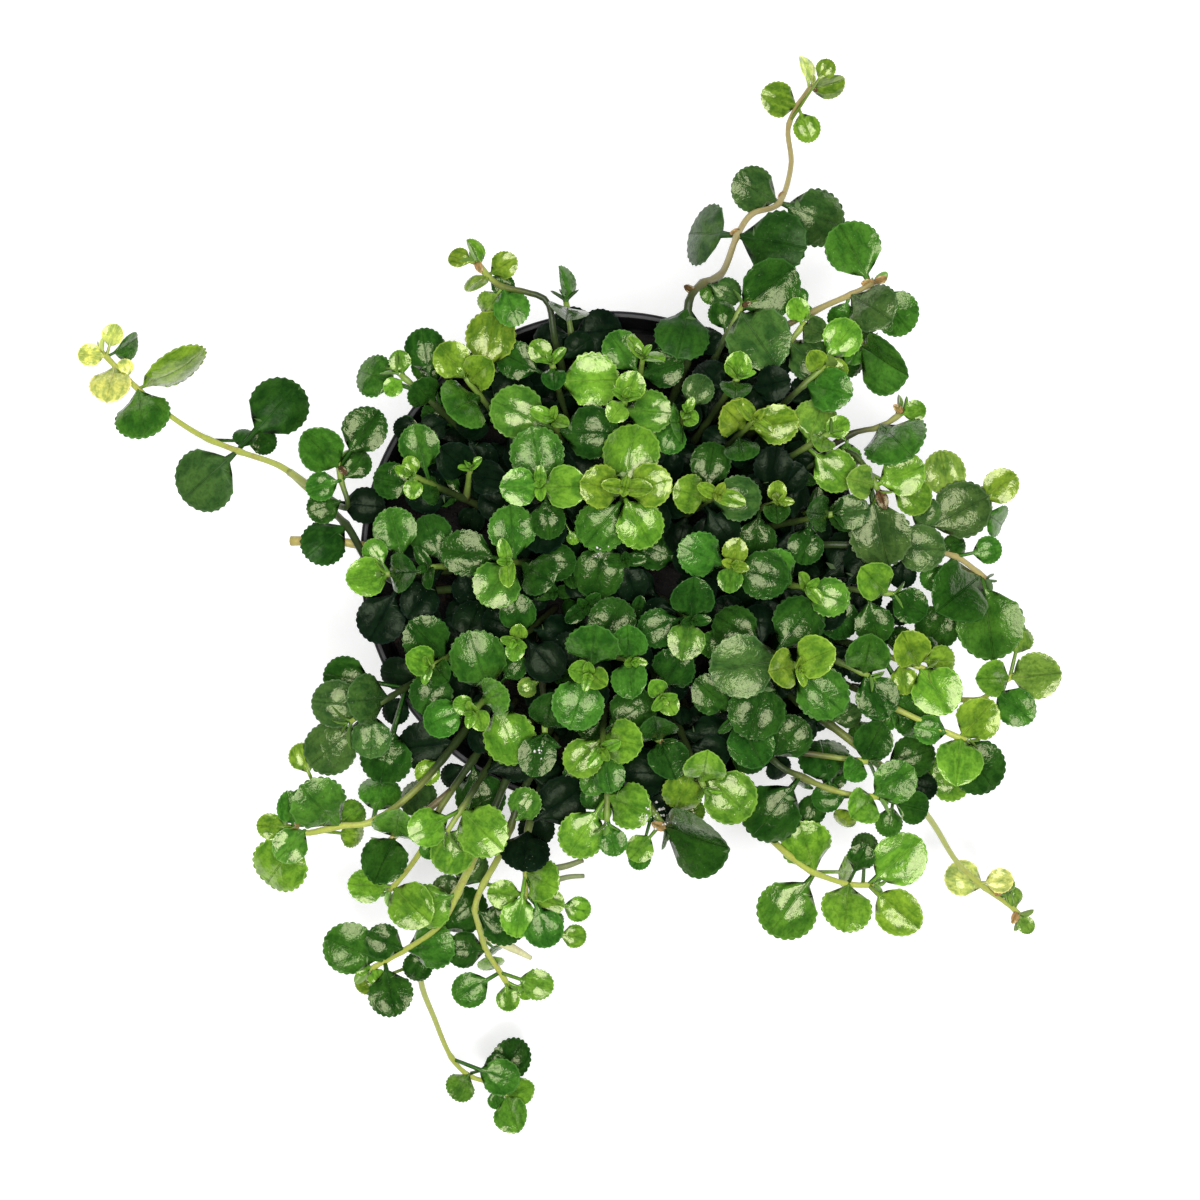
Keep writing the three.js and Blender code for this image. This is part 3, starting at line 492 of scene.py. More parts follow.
def lumps(x, y):
    """Long lumps 0.7 mm high, and seven finer waves, each shorter, lower and turned 2.4 radians on from the
    last."""
    z = 0.7 * np.sin(0.61 * x + 1.3) * np.cos(0.53 * y - 0.7)
    for k in range(7):
        length = 5.2 * 0.74**k
        turn = 2.4 * k
        along = (x * math.cos(turn) + y * math.sin(turn)) / length
        across = (y * math.cos(turn) - x * math.sin(turn)) / length
        z = z + 0.085 * length * np.sin(along * 6.28 + k) * np.cos(across * 4.7 + 2 * k)
    return z


def soil_lump(points):
    """The lumps, on the top alone, fading out towards the wall."""
    r = np.hypot(points[:, 0], points[:, 1])
    top = points[:, 2] > 79.4
    return np.where(top, lumps(points[:, 0], points[:, 1]) * np.clip((49.4 - r) / 2.0, 0, 1), 0)


soil_profile = [[0, 3.7], [20, 3.7], [35.0, 3.7], [38.5, 24.0]]
soil_profile += [[42.6, 48.0], [47.6, 77.0], [49.1, 78.7], [49.4, 79.6]]
soil_profile += [[r, soil_top(r)] for r in np.linspace(49.0, 1.0, 44)] + [[0, soil_top(0)]]
soil_shell = turned(soil_profile, 132, lump=soil_lump)

ROCK = np.array([
    [0, 0, 1], [0.9, 0.1, 0.3], [0.2, 0.95, 0.25], [-0.85, 0.4, 0.2],
    [-0.5, -0.8, 0.35], [0.5, -0.85, 0.2], [0.5, 0.4, -0.6], [-0.6, -0.1, -0.7],
])
ROCK_FACES = np.array([
    [0, 1, 2], [0, 2, 3], [0, 3, 4], [0, 4, 5], [0, 5, 1], [6, 2, 1],
    [6, 3, 2], [7, 4, 3], [6, 7, 3], [7, 5, 4], [6, 5, 7], [6, 1, 5],
])


def scattered(places, sizes, lie, finish=0):
    """A small rock at every place: its corners pushed about at random, turned about the vertical, flattened
    by lie."""
    n = len(places)
    turn = chance.uniform(0, 6.28, n)
    body = ROCK[None] * chance.uniform(0.7, 1.25, (n, len(ROCK), 3)) * sizes[:, None, None] * [1, 1, lie]
    x, y, z = np.moveaxis(body, 2, 0)
    c, s = np.cos(turn)[:, None], np.sin(turn)[:, None]
    points = np.stack([x * c - y * s, x * s + y * c, z], axis=2) + places[:, None]
    faces = ROCK_FACES[None] + np.arange(n)[:, None, None] * len(ROCK)
    luck = np.repeat(chance.uniform(0, 1, n), len(ROCK))
    return shell(points.reshape(-1, 3), [faces.reshape(-1, 3)], finish, chance=luck)


def on_soil(count, most_r=47.5):
    """Places spread evenly over the soil: the radius goes with the square root of an even share."""
    r, a = most_r * np.sqrt(chance.uniform(0, 1, count)), chance.uniform(0, 6.28, count)
    x, y = r * np.cos(a), r * np.sin(a)
    return np.stack([x, y, soil_top(r) + lumps(x, y)], axis=1)


crumb_shell = scattered(on_soil(CRUMBS), 0.35 + 1.15 * chance.uniform(0, 1, CRUMBS) ** 3, 0.7)
grain_shell = scattered(on_soil(GRAINS) + [0, 0, 0.25], chance.uniform(0.35, 1.0, GRAINS), 0.8, 1)

soil_finish = Finish("damp potting mix", Roughness=0.9)
where = soil_finish.place()
clods = soil_finish.noise(where, 260.0, 6.0, 0.7)
streaks = {"Vector": where, "Rotation": (0.3, 0.2, 0.7), "Scale": (1, 6, 1)}
fibres = soil_finish.noise(soil_finish.node("ShaderNodeMapping", values=streaks), 300.0, 3.0, 0.6, 1.2)
wet, loose, damp = colour(0.0015, 0.001, 0.0008), colour(0.026, 0.016, 0.010), colour(0.006, 0.004, 0.003)
stops = [(0.3, wet), (0.78, loose), (0.55, damp)]
peat = soil_finish.node("ShaderNodeValToRGB", {"ramp": stops}, {"Fac": clods})
soil_finish.drive(
    Base_Color=soil_finish.mix(fibres.step(0.62, 0.72) * 0.5, peat, colour(0.040, 0.025, 0.014)),
    Roughness=0.95 - clods * 0.35,
)
soil_finish.relief(clods + fibres * 0.4, 0.0011)

perlite_finish = Finish("perlite grains", Roughness=0.85)
pores = perlite_finish.noise(perlite_finish.place(), 2600.0, 3.0)
chalky = perlite_finish.mix(pores.step(0.35, 0.65), colour(0.55, 0.53, 0.48), colour(0.80, 0.79, 0.76))
perlite_finish.drive(Base_Color=chalky)
perlite_finish.relief(pores, 0.0002)

make_piece("potting_soil", [soil_shell], [soil_finish], ["soil"])
make_piece("soil_crumbs", [crumb_shell, grain_shell], [soil_finish, perlite_finish])
print("soil: %d points, %d crumbs" % (len(soil_shell.points), CRUMBS + GRAINS))

# %% [markdown]
# ## The list of shoots
# Each row is a shoot of the real plant: its name, the shoot that it branches from, the places its stem
# passes, from the inside out to the tip, as pixel, pixel and height in mm, and its leaves, as pixel, pixel,
# radius in pixels, level and tone. Leaves could be strewn at random, but this plant is known by where its
# shoots are. Levels count the leaf pairs down from the tip. Tones: b bright, e a shade less bright, y
# yellow-green, w pale yellow, o olive, m mid green, d dark, k nearly black, g grey-green. The near black of k
# is a dark leaf with the shade of the gaps painted into it.

# %% Shoots, read off the photograph, as in the part
SHOOTS = [
    ["edge_nw_low", "", [[400, 374, 101]], [[400, 361, 11, 0, "b"], [393, 387, 10, 0, "b"],
     [368, 372, 22, 1, "m"], [425, 350, 21, 2, "d"], [424, 393, 18, 2, "d"]]],
    ["edge_nw_high", "", [[466, 378, 106]], [[452, 360, 19, 0, "y"], [479, 373, 17, 0, "y"],
     [464, 405, 27, 1, "m"], [490, 337, 26, 1, "y"]]],
    ["tall_north_west", "", [[556, 345, 101], [548, 303, 103], [526, 292, 103], [503, 287, 102],
     [488, 276, 101], [477, 262, 100]], [[475, 246, 11, 0, "b"], [459, 257, 11, 0, "y"],
     [503, 266, 14, 1, "y"], [470, 285, 12, 1, "o"], [485, 307, 15, 2, "o"], [512, 309, 19, 2, "m"]]],
    ["spike_north", "", [[566, 302, 98]], [[569, 327, 27, 0, "d"], [561, 279, 13, 0, "m"]]],
    ["north_inner", "", [[552, 364, 106]], [[540, 351, 12, 0, "b"], [554, 379, 13, 0, "d"],
     [517, 360, 20, 1, "d"], [592, 380, 27, 1, "b"]]],
    ["crown_north_west", "", [[541, 486, 116]], [[519, 487, 19, 0, "e"], [566, 487, 22, 0, "b"],
     [537, 454, 27, 1, "m"], [548, 520, 18, 1, "d"]]],
    ["inner_north", "", [[553, 420, 109]], [[518, 412, 27, 1, "e"], [590, 432, 27, 1, "d"]]],
    ["crown_west", "", [[508, 562, 113]], [[512, 530, 24, 1, "m"], [498, 583, 24, 1, "e"],
     [535, 572, 22, 2, "d"], [466, 553, 24, 2, "d"]]],
    ["inner_north_east", "", [[625, 399, 111]], [[631, 386, 15, 0, "b"], [617, 412, 12, 0, "b"],
     [648, 412, 22, 1, "e"]]],
    ["edge_north", "", [[643, 358, 104]], [[622, 350, 20, 1, "m"], [663, 368, 20, 1, "d"]]],
    ["inner_east_north", "", [[686, 413, 110]], [[691, 419, 9, 0, "b"], [669, 429, 21, 1, "m"],
     [698, 390, 16, 1, "g"]]],
    ["edge_north_east", "", [[738, 378, 109]], [[738, 366, 14, 0, "b"], [735, 389, 16, 0, "d"],
     [775, 384, 18, 1, "k"], [708, 372, 18, 1, "k"]]],
    ["rim_north_east", "", [[742, 306, 100]], [[758, 341, 33, 0, "g"], [770, 288, 30, 0, "d"]]],
    ["crown_north_east", "", [[754, 420, 114]], [[732, 418, 22, 1, "y"], [777, 425, 21, 1, "y"],
     [740, 446, 20, 2, "d"], [760, 392, 18, 2, "k"]]],
    ["rim_east_north", "", [[806, 322, 101]], [[797, 309, 12, 0, "b"], [813, 331, 14, 0, "g"],
     [801, 352, 22, 1, "g"]]],
    ["edge_east_north", "", [[825, 366, 106]], [[815, 361, 12, 0, "y"], [836, 370, 12, 0, "y"],
     [843, 337, 20, 1, "b"], [836, 390, 21, 1, "m"]]],
    ["edge_east_mid", "", [[829, 434, 110]], [[822, 443, 13, 0, "b"], [838, 427, 12, 0, "b"],
     [819, 416, 23, 1, "o"], [835, 470, 22, 1, "b"]]],
    ["crown_top", "", [[625, 488, 121]], [[601, 487, 22, 1, "y"], [648, 486, 22, 1, "y"],
     [629, 452, 29, 2, "b"], [640, 525, 24, 2, "b"], [600, 527, 25, 3, "m"]]],
    ["crown_east_north", "", [[716, 495, 115]], [[693, 495, 20, 1, "y"], [738, 498, 23, 1, "g"],
     [711, 463, 21, 2, "d"], [722, 528, 19, 2, "k"]]],
    ["inner_east", "", [[778, 502, 110]], [[777, 491, 10, 0, "y"], [776, 513, 14, 0, "d"],
     [773, 467, 20, 1, "k"], [803, 469, 17, 2, "k"]]],
    ["edge_east", "", [[833, 514, 107]], [[817, 514, 18, 0, "d"], [851, 512, 18, 0, "g"],
     [806, 546, 18, 1, "d"]]],
    ["crown_east", "", [[732, 565, 116]], [[735, 551, 13, 0, "y"], [730, 580, 13, 0, "e"],
     [702, 555, 23, 1, "m"], [763, 575, 25, 1, "d"]]],
    ["inner_east_south", "", [[806, 587, 110]], [[783, 577, 22, 1, "m"], [829, 597, 20, 1, "e"]]],
    ["centre_east", "", [[692, 620, 112]], [[692, 598, 22, 0, "d"], [686, 641, 19, 0, "e"],
     [658, 628, 20, 1, "d"]]],
    ["centre_south_east", "", [[663, 697, 111]], [[657, 688, 11, 0, "b"], [669, 705, 11, 0, "b"],
     [672, 670, 22, 1, "d"]]],
    ["crown_south_east", "", [[798, 667, 116]], [[782, 668, 20, 0, "y"], [814, 656, 22, 0, "y"],
     [743, 666, 32, 1, "g"], [822, 693, 27, 1, "m"], [800, 622, 27, 2, "d"], [757, 710, 29, 2, "d"]]],
    ["low_south_east", "crown_south_east", [[733, 718, 106]], [[712, 694, 21, 0, "d"],
     [751, 744, 24, 0, "d"]]],
    ["edge_west_south", "", [[431, 667, 107]], [[421, 660, 16, 0, "b"], [441, 673, 14, 0, "d"],
     [428, 640, 24, 1, "d"], [431, 693, 22, 1, "d"]]],
    ["crown_south_west", "", [[474, 711, 113]], [[463, 705, 10, 0, "b"], [480, 720, 11, 0, "b"],
     [492, 697, 21, 1, "e"], [442, 717, 20, 1, "m"], [480, 664, 29, 2, "m"], [509, 738, 27, 2, "b"]]],
    ["inner_west", "", [[516, 641, 109]], [[515, 651, 10, 0, "b"], [519, 632, 9, 0, "b"],
     [518, 614, 19, 1, "d"], [545, 661, 21, 1, "k"]]],
    ["low_west", "inner_west", [[545, 733, 105]], [[550, 710, 21, 0, "d"], [537, 756, 20, 0, "d"]]],
    ["crown_south", "", [[589, 674, 116]], [[579, 671, 12, 0, "b"], [598, 679, 12, 0, "b"],
     [593, 645, 27, 1, "m"], [578, 704, 26, 1, "m"]]],
    ["centre_south", "crown_south", [[631, 661, 111]], [[628, 643, 20, 0, "m"], [630, 680, 19, 0, "m"]]],
    ["inner_south", "", [[603, 748, 114]], [[583, 758, 20, 1, "b"], [623, 740, 23, 1, "b"],
     [605, 776, 18, 2, "m"]]],
    ["low_south", "inner_south", [[662, 742, 107]], [[655, 724, 21, 0, "d"], [669, 761, 21, 0, "d"]]],
    ["edge_south_east", "", [[704, 787, 111]], [[704, 766, 20, 0, "b"], [682, 797, 21, 1, "y"],
     [730, 797, 27, 1, "b"]]],
    ["edge_west_north", "", [[413, 476, 106]], [[413, 489, 10, 0, "b"], [411, 465, 9, 0, "b"],
     [418, 446, 21, 1, "m"], [385, 479, 19, 2, "d"], [439, 490, 15, 2, "d"]]],
    ["low_north_west", "edge_west_north", [[470, 470, 98]], [[455, 461, 20, 0, "k"],
     [487, 478, 18, 0, "k"]]],
    ["edge_west", "", [[385, 574, 105]], [[367, 577, 20, 0, "b"], [403, 573, 20, 0, "d"],
     [395, 530, 22, 1, "m"], [381, 619, 24, 1, "k"]]],
    ["inner_west_low", "", [[430, 567, 106]], [[430, 535, 22, 1, "d"], [420, 601, 20, 1, "k"]]],
    ["rim_south_west", "", [[350, 722, 104]], [[336, 704, 24, 1, "g"], [371, 738, 23, 1, "g"],
     [380, 696, 23, 2, "g"], [325, 751, 25, 2, "g"], [343, 678, 22, 3, "d"], [383, 766, 26, 3, "d"]]],
    ["arch_south_west", "", [[425, 780, 97], [375, 820, 98], [340, 826, 97], [306, 833, 94],
     [288, 826, 93]], [[270, 826, 13, 0, "y"], [291, 806, 16, 0, "m"], [290, 846, 18, 1, "e"],
     [272, 868, 28, 1, "b"], [322, 806, 28, 2, "m"]]],
    ["rim_south_south_west", "", [[447, 832, 104]], [[425, 828, 20, 1, "b"], [482, 829, 27, 1, "b"],
     [450, 858, 22, 2, "b"]]],
    ["arch_south_west_low", "", [[444, 802, 97], [426, 842, 94], [406, 872, 89], [390, 890, 86]],
     [[367, 885, 18, 0, "b"], [413, 905, 24, 0, "b"]]],
    ["side_south_west", "arch_south_west_low", [[390, 840, 99]], [[393, 820, 24, 0, "e"],
     [385, 859, 24, 0, "d"]]],
    ["trail_south_west", "", [[497, 802, 98], [480, 845, 96], [462, 885, 88], [440, 925, 80],
     [405, 950, 74], [385, 961, 71], [369, 970, 69]], [[377, 977, 9, 0, "b"], [361, 967, 9, 0, "b"],
     [352, 946, 25, 1, "m"], [392, 995, 22, 1, "d"], [383, 942, 18, 2, "d"], [431, 945, 24, 2, "m"]]],
    ["trail_south", "trail_south_west", [[430, 945, 70], [421, 980, 55], [435, 1020, 40], [450, 1055, 29],
     [468, 1075, 24], [493, 1084, 22], [510, 1098, 21]], [[521, 1090, 14, 0, "b"], [510, 1115, 17, 0, "e"],
     [511, 1062, 21, 1, "d"], [487, 1098, 13, 1, "m"], [462, 1084, 15, 2, "e"], [480, 1056, 16, 2, "d"]]],
    ["trail_south_short", "", [[520, 800, 98], [502, 850, 97], [482, 887, 90], [475, 909, 85],
     [480, 930, 80], [486, 950, 75], [500, 972, 71], [508, 985, 69]], [[508, 999, 12, 0, "b"],
     [526, 992, 10, 0, "b"], [470, 990, 18, 1, "m"], [537, 984, 16, 1, "b"], [467, 950, 18, 2, "d"]]],
    ["rim_south", "", [[528, 830, 98], [526, 872, 98], [525, 899, 95]], [[503, 894, 15, 0, "b"],
     [549, 902, 15, 0, "b"], [540, 878, 21, 1, "b"], [546, 936, 20, 1, "m"], [519, 918, 19, 1, "b"],
     [525, 850, 22, 2, "k"]]],
    ["edge_south", "", [[607, 822, 106]], [[613, 842, 14, 0, "m"], [582, 835, 24, 1, "b"],
     [626, 803, 24, 1, "b"]]],
    ["low_south_south_east", "edge_south", [[665, 828, 99]], [[699, 850, 32, 0, "d"],
     [640, 848, 14, 0, "b"]]],
    ["rim_east", "", [[800, 470, 100], [847, 452, 104], [868, 472, 106], [878, 490, 107]],
     [[860, 482, 17, 0, "o"], [903, 474, 22, 0, "b"], [848, 516, 18, 1, "d"], [914, 496, 19, 1, "b"],
     [880, 535, 31, 1, "g"]]],
    ["rim_east_north_side", "rim_east", [[847, 436, 103], [880, 427, 102], [902, 413, 101]],
     [[915, 411, 11, 0, "b"], [900, 400, 11, 0, "o"], [901, 446, 30, 1, "m"], [848, 459, 15, 2, "e"]]],
    ["trail_east", "", [[820, 545, 98], [880, 545, 99], [925, 530, 97], [952, 515, 95], [978, 502, 93]],
     [[1000, 486, 18, 0, "y"], [1000, 519, 16, 0, "m"], [945, 474, 22, 1, "o"], [962, 510, 29, 2, "g"]]],
    ["trail_east_side", "trail_east", [[925, 552, 95], [955, 556, 93], [985, 578, 90]],
     [[960, 597, 31, 0, "d"], [1002, 620, 32, 0, "m"], [935, 577, 14, 1, "m"], [988, 550, 14, 1, "m"]]],
    ["edge_east_low", "", [[893, 594, 107]], [[873, 580, 20, 0, "b"], [910, 606, 18, 0, "d"],
     [875, 624, 20, 1, "d"]]],
    ["rim_east_south", "", [[925, 669, 104]], [[910, 649, 20, 0, "y"], [936, 691, 25, 0, "b"],
     [903, 673, 16, 1, "y"], [945, 661, 16, 1, "y"], [924, 722, 26, 2, "m"]]],
    ["edge_east_south", "", [[869, 676, 105]], [[866, 654, 23, 0, "m"], [877, 697, 22, 0, "d"]]],
    ["rim_south_east", "", [[882, 702, 100], [953, 735, 102], [966, 739, 102]], [[977, 718, 22, 0, "y"],
     [957, 761, 24, 0, "b"], [989, 766, 25, 1, "d"], [930, 730, 15, 1, "m"]]],
    ["trail_east_south", "rim_south_east", [[970, 700, 94], [992, 688, 91], [1014, 675, 89]],
     [[996, 674, 20, 0, "b"], [1036, 675, 23, 0, "o"], [1016, 708, 20, 1, "m"]]],
    ["arch_south_east", "", [[770, 757, 101], [800, 776, 101], [830, 789, 100], [855, 795, 100],
     [878, 797, 99]], [[861, 806, 19, 0, "b"], [895, 781, 22, 0, "m"], [914, 808, 17, 0, "d"],
     [826, 751, 26, 2, "d"], [772, 815, 30, 3, "d"], [790, 737, 22, 4, "d"]]],
    ["side_south_east", "arch_south_east", [[868, 762, 100]], [[873, 740, 20, 0, "d"],
     [852, 770, 14, 0, "m"]]],
    ["trail_south_east_low", "", [[735, 800, 97], [770, 838, 95], [795, 860, 91], [815, 873, 89],
     [848, 884, 85], [873, 885, 83]], [[899, 858, 27, 0, "b"], [898, 912, 24, 0, "y"],
     [845, 905, 25, 1, "b"], [861, 855, 14, 1, "d"], [807, 848, 26, 2, "b"], [788, 911, 30, 2, "e"]]],
    ["trail_south_east", "", [[850, 740, 97], [905, 790, 86], [932, 822, 68], [957, 862, 50],
     [985, 888, 43], [1008, 904, 38], [1019, 914, 36]], [[1026, 925, 9, 0, "o"], [1003, 918, 9, 0, "o"],
     [1000, 882, 13, 1, "o"], [964, 879, 18, 2, "w"]]],
    ["trail_north_east", "", [[690, 350, 98], [688, 306, 100], [700, 285, 97], [722, 273, 90],
     [737, 236, 76], [752, 214, 69], [779, 203, 63], [791, 165, 54], [788, 130, 48], [797, 106, 45],
     [812, 86, 43]], [[804, 66, 12, 0, "w"], [832, 84, 12, 0, "y"], [779, 99, 19, 1, "y"],
     [807, 127, 14, 1, "y"], [755, 191, 23, 4, "g"], [817, 220, 28, 4, "g"], [704, 236, 25, 6, "g"],
     [772, 243, 32, 6, "d"], [683, 331, 28, 9, "d"]]],
    ["arch_north_east", "", [[770, 340, 97], [815, 311, 98], [850, 295, 95], [874, 283, 91]],
     [[857, 247, 28, 0, "m"], [902, 312, 24, 0, "m"], [868, 308, 26, 1, "g"]]],
    ["side_north_east", "arch_north_east", [[866, 344, 99]], [[887, 369, 26, 0, "m"],
     [855, 356, 10, 0, "m"]]],
    ["trail_west", "", [[420, 590, 96], [372, 565, 97], [346, 525, 92], [306, 487, 82], [280, 466, 76],
     [238, 451, 67], [200, 435, 61], [165, 412, 57], [138, 389, 54], [115, 366, 52], [103, 353, 51]],
     [[90, 355, 12, 0, "w"], [113, 335, 11, 0, "w"], [113, 383, 21, 1, "w"], [129, 341, 21, 0, "m"],
     [143, 413, 27, 2, "m"], [174, 367, 22, 2, "y"], [203, 479, 29, 5, "g"], [277, 404, 30, 5, "d"],
     [243, 431, 12, 5, "d"], [327, 541, 23, 8, "d"]]],
    ["side_west", "trail_west", [[345, 508, 96], [341, 480, 98], [338, 462, 99]], [[322, 450, 23, 0, "m"],
     [364, 431, 23, 0, "d"], [355, 463, 16, 1, "d"], [321, 486, 15, 1, "m"], [327, 506, 16, 2, "d"]]],
]
print(len(SHOOTS), "shoots,", sum(len(row[3]) for row in SHOOTS), "leaves")

# %% [markdown]
# ## Stems
# A stem rises out of the soil under its tip, bends towards it, and goes on through the listed places.
# Straight rods would look like wire, so a smooth curve passes through all the places: between two of them it
# is a cubic whose slope at each is half the step from the place before to the place after. Roots that would
# crowd each other are pushed apart first.

# %% Where stems stand and the curves that they follow
STEM_STEP, ROOT_DEPTH, ROOT_MOST_R, ROOT_SPACING, ROOT_PULL = 7.5, 9.0, 43.5, 4.8, 0.62
FINE_SHARES = np.arange(201) / 200


def on_curve(places, shares):
    """Points of the cubic curve through the places, at even shares of its parameter."""
    places = np.asarray(places)
    ends = np.concatenate([[2 * places[0] - places[1]], places, [2 * places[-1] - places[-2]]])
    t = np.clip(shares, 0, 1) * (len(places) - 1)
    k = np.minimum(t.astype(int), len(places) - 2)
    w = (t - k)[:, None]
    before, start, end, after = (ends[k + i] for i in range(4))
    out, into = (end - before) / 2, (after - start) / 2
    bow, sway = 3 * (end - start) - 2 * out - into, 2 * (start - end) + out + into
    return start + out * w + bow * w**2 + sway * w**3


def evenly(places, lengths):
    """Points at those shares of the curve's length, by measuring it in 200 short steps, and the length."""
    fine = on_curve(places, FINE_SHARES)
    run = np.concatenate([[0], np.cumsum(np.linalg.norm(np.diff(fine, axis=0), axis=1))])
    return on_curve(places, np.interp(np.asarray(lengths) * run[-1], run, FINE_SHARES)), run[-1]


def lengths_along(run):
    """The length from the start of a run of points to each of them."""
    return np.concatenate([[0], np.cumsum(np.linalg.norm(np.diff(run, axis=0), axis=1))])


def place_roots(firsts):
    """Each root lies under its shoot, pulled in, and crowded pairs are pushed apart by equal amounts, over
    and over."""
    roots = [p[:2] * min(ROOT_PULL, ROOT_MOST_R / math.hypot(*p[:2])) for p in firsts]
    for _ in range(80):
        for i in range(len(roots)):
            for j in range(i + 1, len(roots)):
                gap = roots[j] - roots[i]
                d = max(math.hypot(*gap), 0.01)
                if d < ROOT_SPACING:
                    push = gap * (ROOT_SPACING - d) / 2 / d
                    roots[i], roots[j] = roots[i] - push, roots[j] + push
        roots = [p * min(1, ROOT_MOST_R / math.hypot(*p)) for p in roots]
    return [np.array([x, y, soil_top(math.hypot(x, y))]) for x, y in roots]


def stem_places(shoot):
    """The places that the stem passes: up out of the soil or off its parent, over a middle point, and on to
    the tip."""
    path = [seen(*p) for p in shoot.path]
    tip = path[-1]
    if shoot.parent:
        start = stem_at(shoot.parent, shoot.parent.length * 0.55)
        if len(path) > 1:
            return [start, *path]
        middle = start + (tip - start) * 0.6
        middle[2] = start[2] + (tip[2] - start[2]) * 0.45
        return [start, middle, *path]
    rise = [shoot.root + [0, 0, up] for up in (-ROOT_DEPTH, -1, 3)]
    if len(path) > 1:
        return [*rise, *path]
    middle = shoot.root + (tip - shoot.root) * 0.55
    over_rim = min(max((math.hypot(tip[0], tip[1]) - 40) / 12, 0), 1)
    middle[2] = shoot.root[2] + 3 + (tip[2] - shoot.root[2] - 3) * (0.45 + 0.4 * over_rim)
    return [*rise, middle, *path]


def stem_at(shoot, length):
    """The point of a stem's rod at a length from its start."""
    return np.array([np.interp(length, shoot.along, shoot.run[:, k]) for k in range(3)])


def nearest_on(shoot, p):
    """The point of a stem's rod that is nearest to p: p dropped on every straight step of it, and the
    closest taken."""
    a, step = shoot.run[:-1], np.diff(shoot.run, axis=0)
    t = np.clip(((p - a) * step).sum(1) / (step * step).sum(1), 0, 1)
    foot = a + step * t[:, None]
    return foot[np.argmin(np.linalg.norm(foot - p, axis=1))]


shoots = [
    SimpleNamespace(number=i, name=name, parent_name=parent, path=path, rows=rows)
    for i, (name, parent, path, rows) in enumerate(SHOOTS)
]
for s in shoots:
    s.parent = next((o for o in shoots if o.name == s.parent_name), None)
    s.node = s.parent.name if s.parent else s.name
rooted = [s for s in shoots if not s.parent]
for s, root in zip(rooted, place_roots([seen(*s.path[0]) for s in rooted])):
    s.root = root
for s in shoots:
    s.places = stem_places(s)
    steps = max(4, math.floor(evenly(s.places, [0])[1] / STEM_STEP + 0.5))
    s.run = evenly(s.places, np.arange(steps + 1) / steps)[0]
    s.along = lengths_along(s.run)
    s.length = s.along[-1]
print("stems in all: %.0f mm" % sum(s.length for s in shoots))

# %% [markdown]
# ## Leaves
# A leaf reaches from its stem towards the place where its blade shows. Every blade could be turned by hand,
# but a rule does it: one that shows nearer the stem than its own length must rise steeply, and young pairs
# fold up along the midrib. Each blade is tested against those placed before it, both ways, on its own stem
# too, and against stems and pot. One that isn't clear tries tilts, rolls and smaller sizes about the same
# middle, the mildest first. A listed leaf that finds no clear place this way is tried once
# more without the test on its own stem. The test feels only some points, so finished blades can still cut.
# Some leaves were read better at a second look, and a few are seen nearly edge-on: their middle, full radius,
# rise and roll are listed apart, by the pixel that the first reading gave.

# %% How a blade lies in space
LEVELS = (1.2, 5.4, 9.8, 14.4, 19.0)
DROOP = 0.15
FOLDS = (0.3, 0.12, 0.0, -0.06, -0.06)
PITCHES = (16, 10, 4, 0, -4)
LEAF_CLEAR, STEM_CLEAR = 1.3, 1.75
LONGEST_STALK = 2.9
OWN_NODE, RIM_FEELERS = 3.2, 16
MOST_LEAVES = 900
SECOND_LOOK = {
    (174, 367): (177, 373, 33, 0, 70), (129, 341): (129, 341, 21, 0, 52),
    (704, 236): (698, 231, 33, -50, 0), (817, 220): (819, 215, 29, None, 0),
    (143, 413): (144, 412, 28, 0, 0), (804, 66): (807, 66, 13, 0, 50), (832, 84): (829, 86, 16, 0, 55),
    (779, 99): (779, 101, 18, 0, 0), (857, 247): (853, 247, 28, 0, 0), (902, 312): (897, 313, 23, 0, 0),
    (561, 279): (565, 283, 17, None, 64), (203, 479): (201, 481, 32, -10, 0),
    (887, 369): (884, 370, 32, 0, 55), (325, 751): (327, 751, 27, None, 0),
    (380, 696): (382, 698, 26, None, 0), (989, 766): (979, 767, 28, None, 0),
    (1003, 918): (1014, 897, 10, None, 30), (1002, 620): (989, 624, 34, None, 0),
    (960, 597): (957, 593, 32, None, 0), (996, 674): (992, 678, 19, None, 0),
    (393, 820): (398, 823, 24, None, 0), (569, 327): (571, 329, 27, 0, 0),
    (475, 246): (475, 250, 13, 0, 55), (470, 285): (476, 281, 13, 0, 50),
    (479, 373): (480, 373, 19, None, 0), (464, 405): (467, 405, 29, None, 0),
    (900, 400): (900, 403, 9, 0, 70), (901, 446): (896, 449, 34, 0, 0), (836, 390): (830, 391, 23, 0, 0),
    (480, 1056): (496, 1066, 12, None, 0), (487, 1098): (496, 1102, 9, 0, 0),
    (510, 1115): (512, 1113, 18, 0, 0), (525, 850): (525, 857, 25, None, 0),
    (352, 946): (350, 948, 26, None, 0), (272, 868): (274, 871, 30, None, 0),
    (623, 740): (621, 740, 23, None, 0), (699, 850): (693, 838, 38, 0, 40),
    (704, 766): (704, 767, 22, 0, 0), (1000, 519): (1000, 521, 17, -40, 0),
}


def level_point(shoot, level):
    """Where a pair of that level stands: by length down from the tip, or by the listed places on a long
    stem."""
    if len(shoot.path) == 1 or level == 0:
        return stem_at(shoot, shoot.length - LEVELS[level])
    return nearest_on(shoot, shoot.places[-1 - level])


def new_leaf(shoot, base, radius, reach, fold, level, tone, **turned):
    """A leaf as a record: where it leaves its stem, its size and shape, and its angles or directions."""
    return SimpleNamespace(
        shoot=shoot, base=base, radius=radius, reach=reach, fold=fold, level=level, tone=tone, **turned
    )


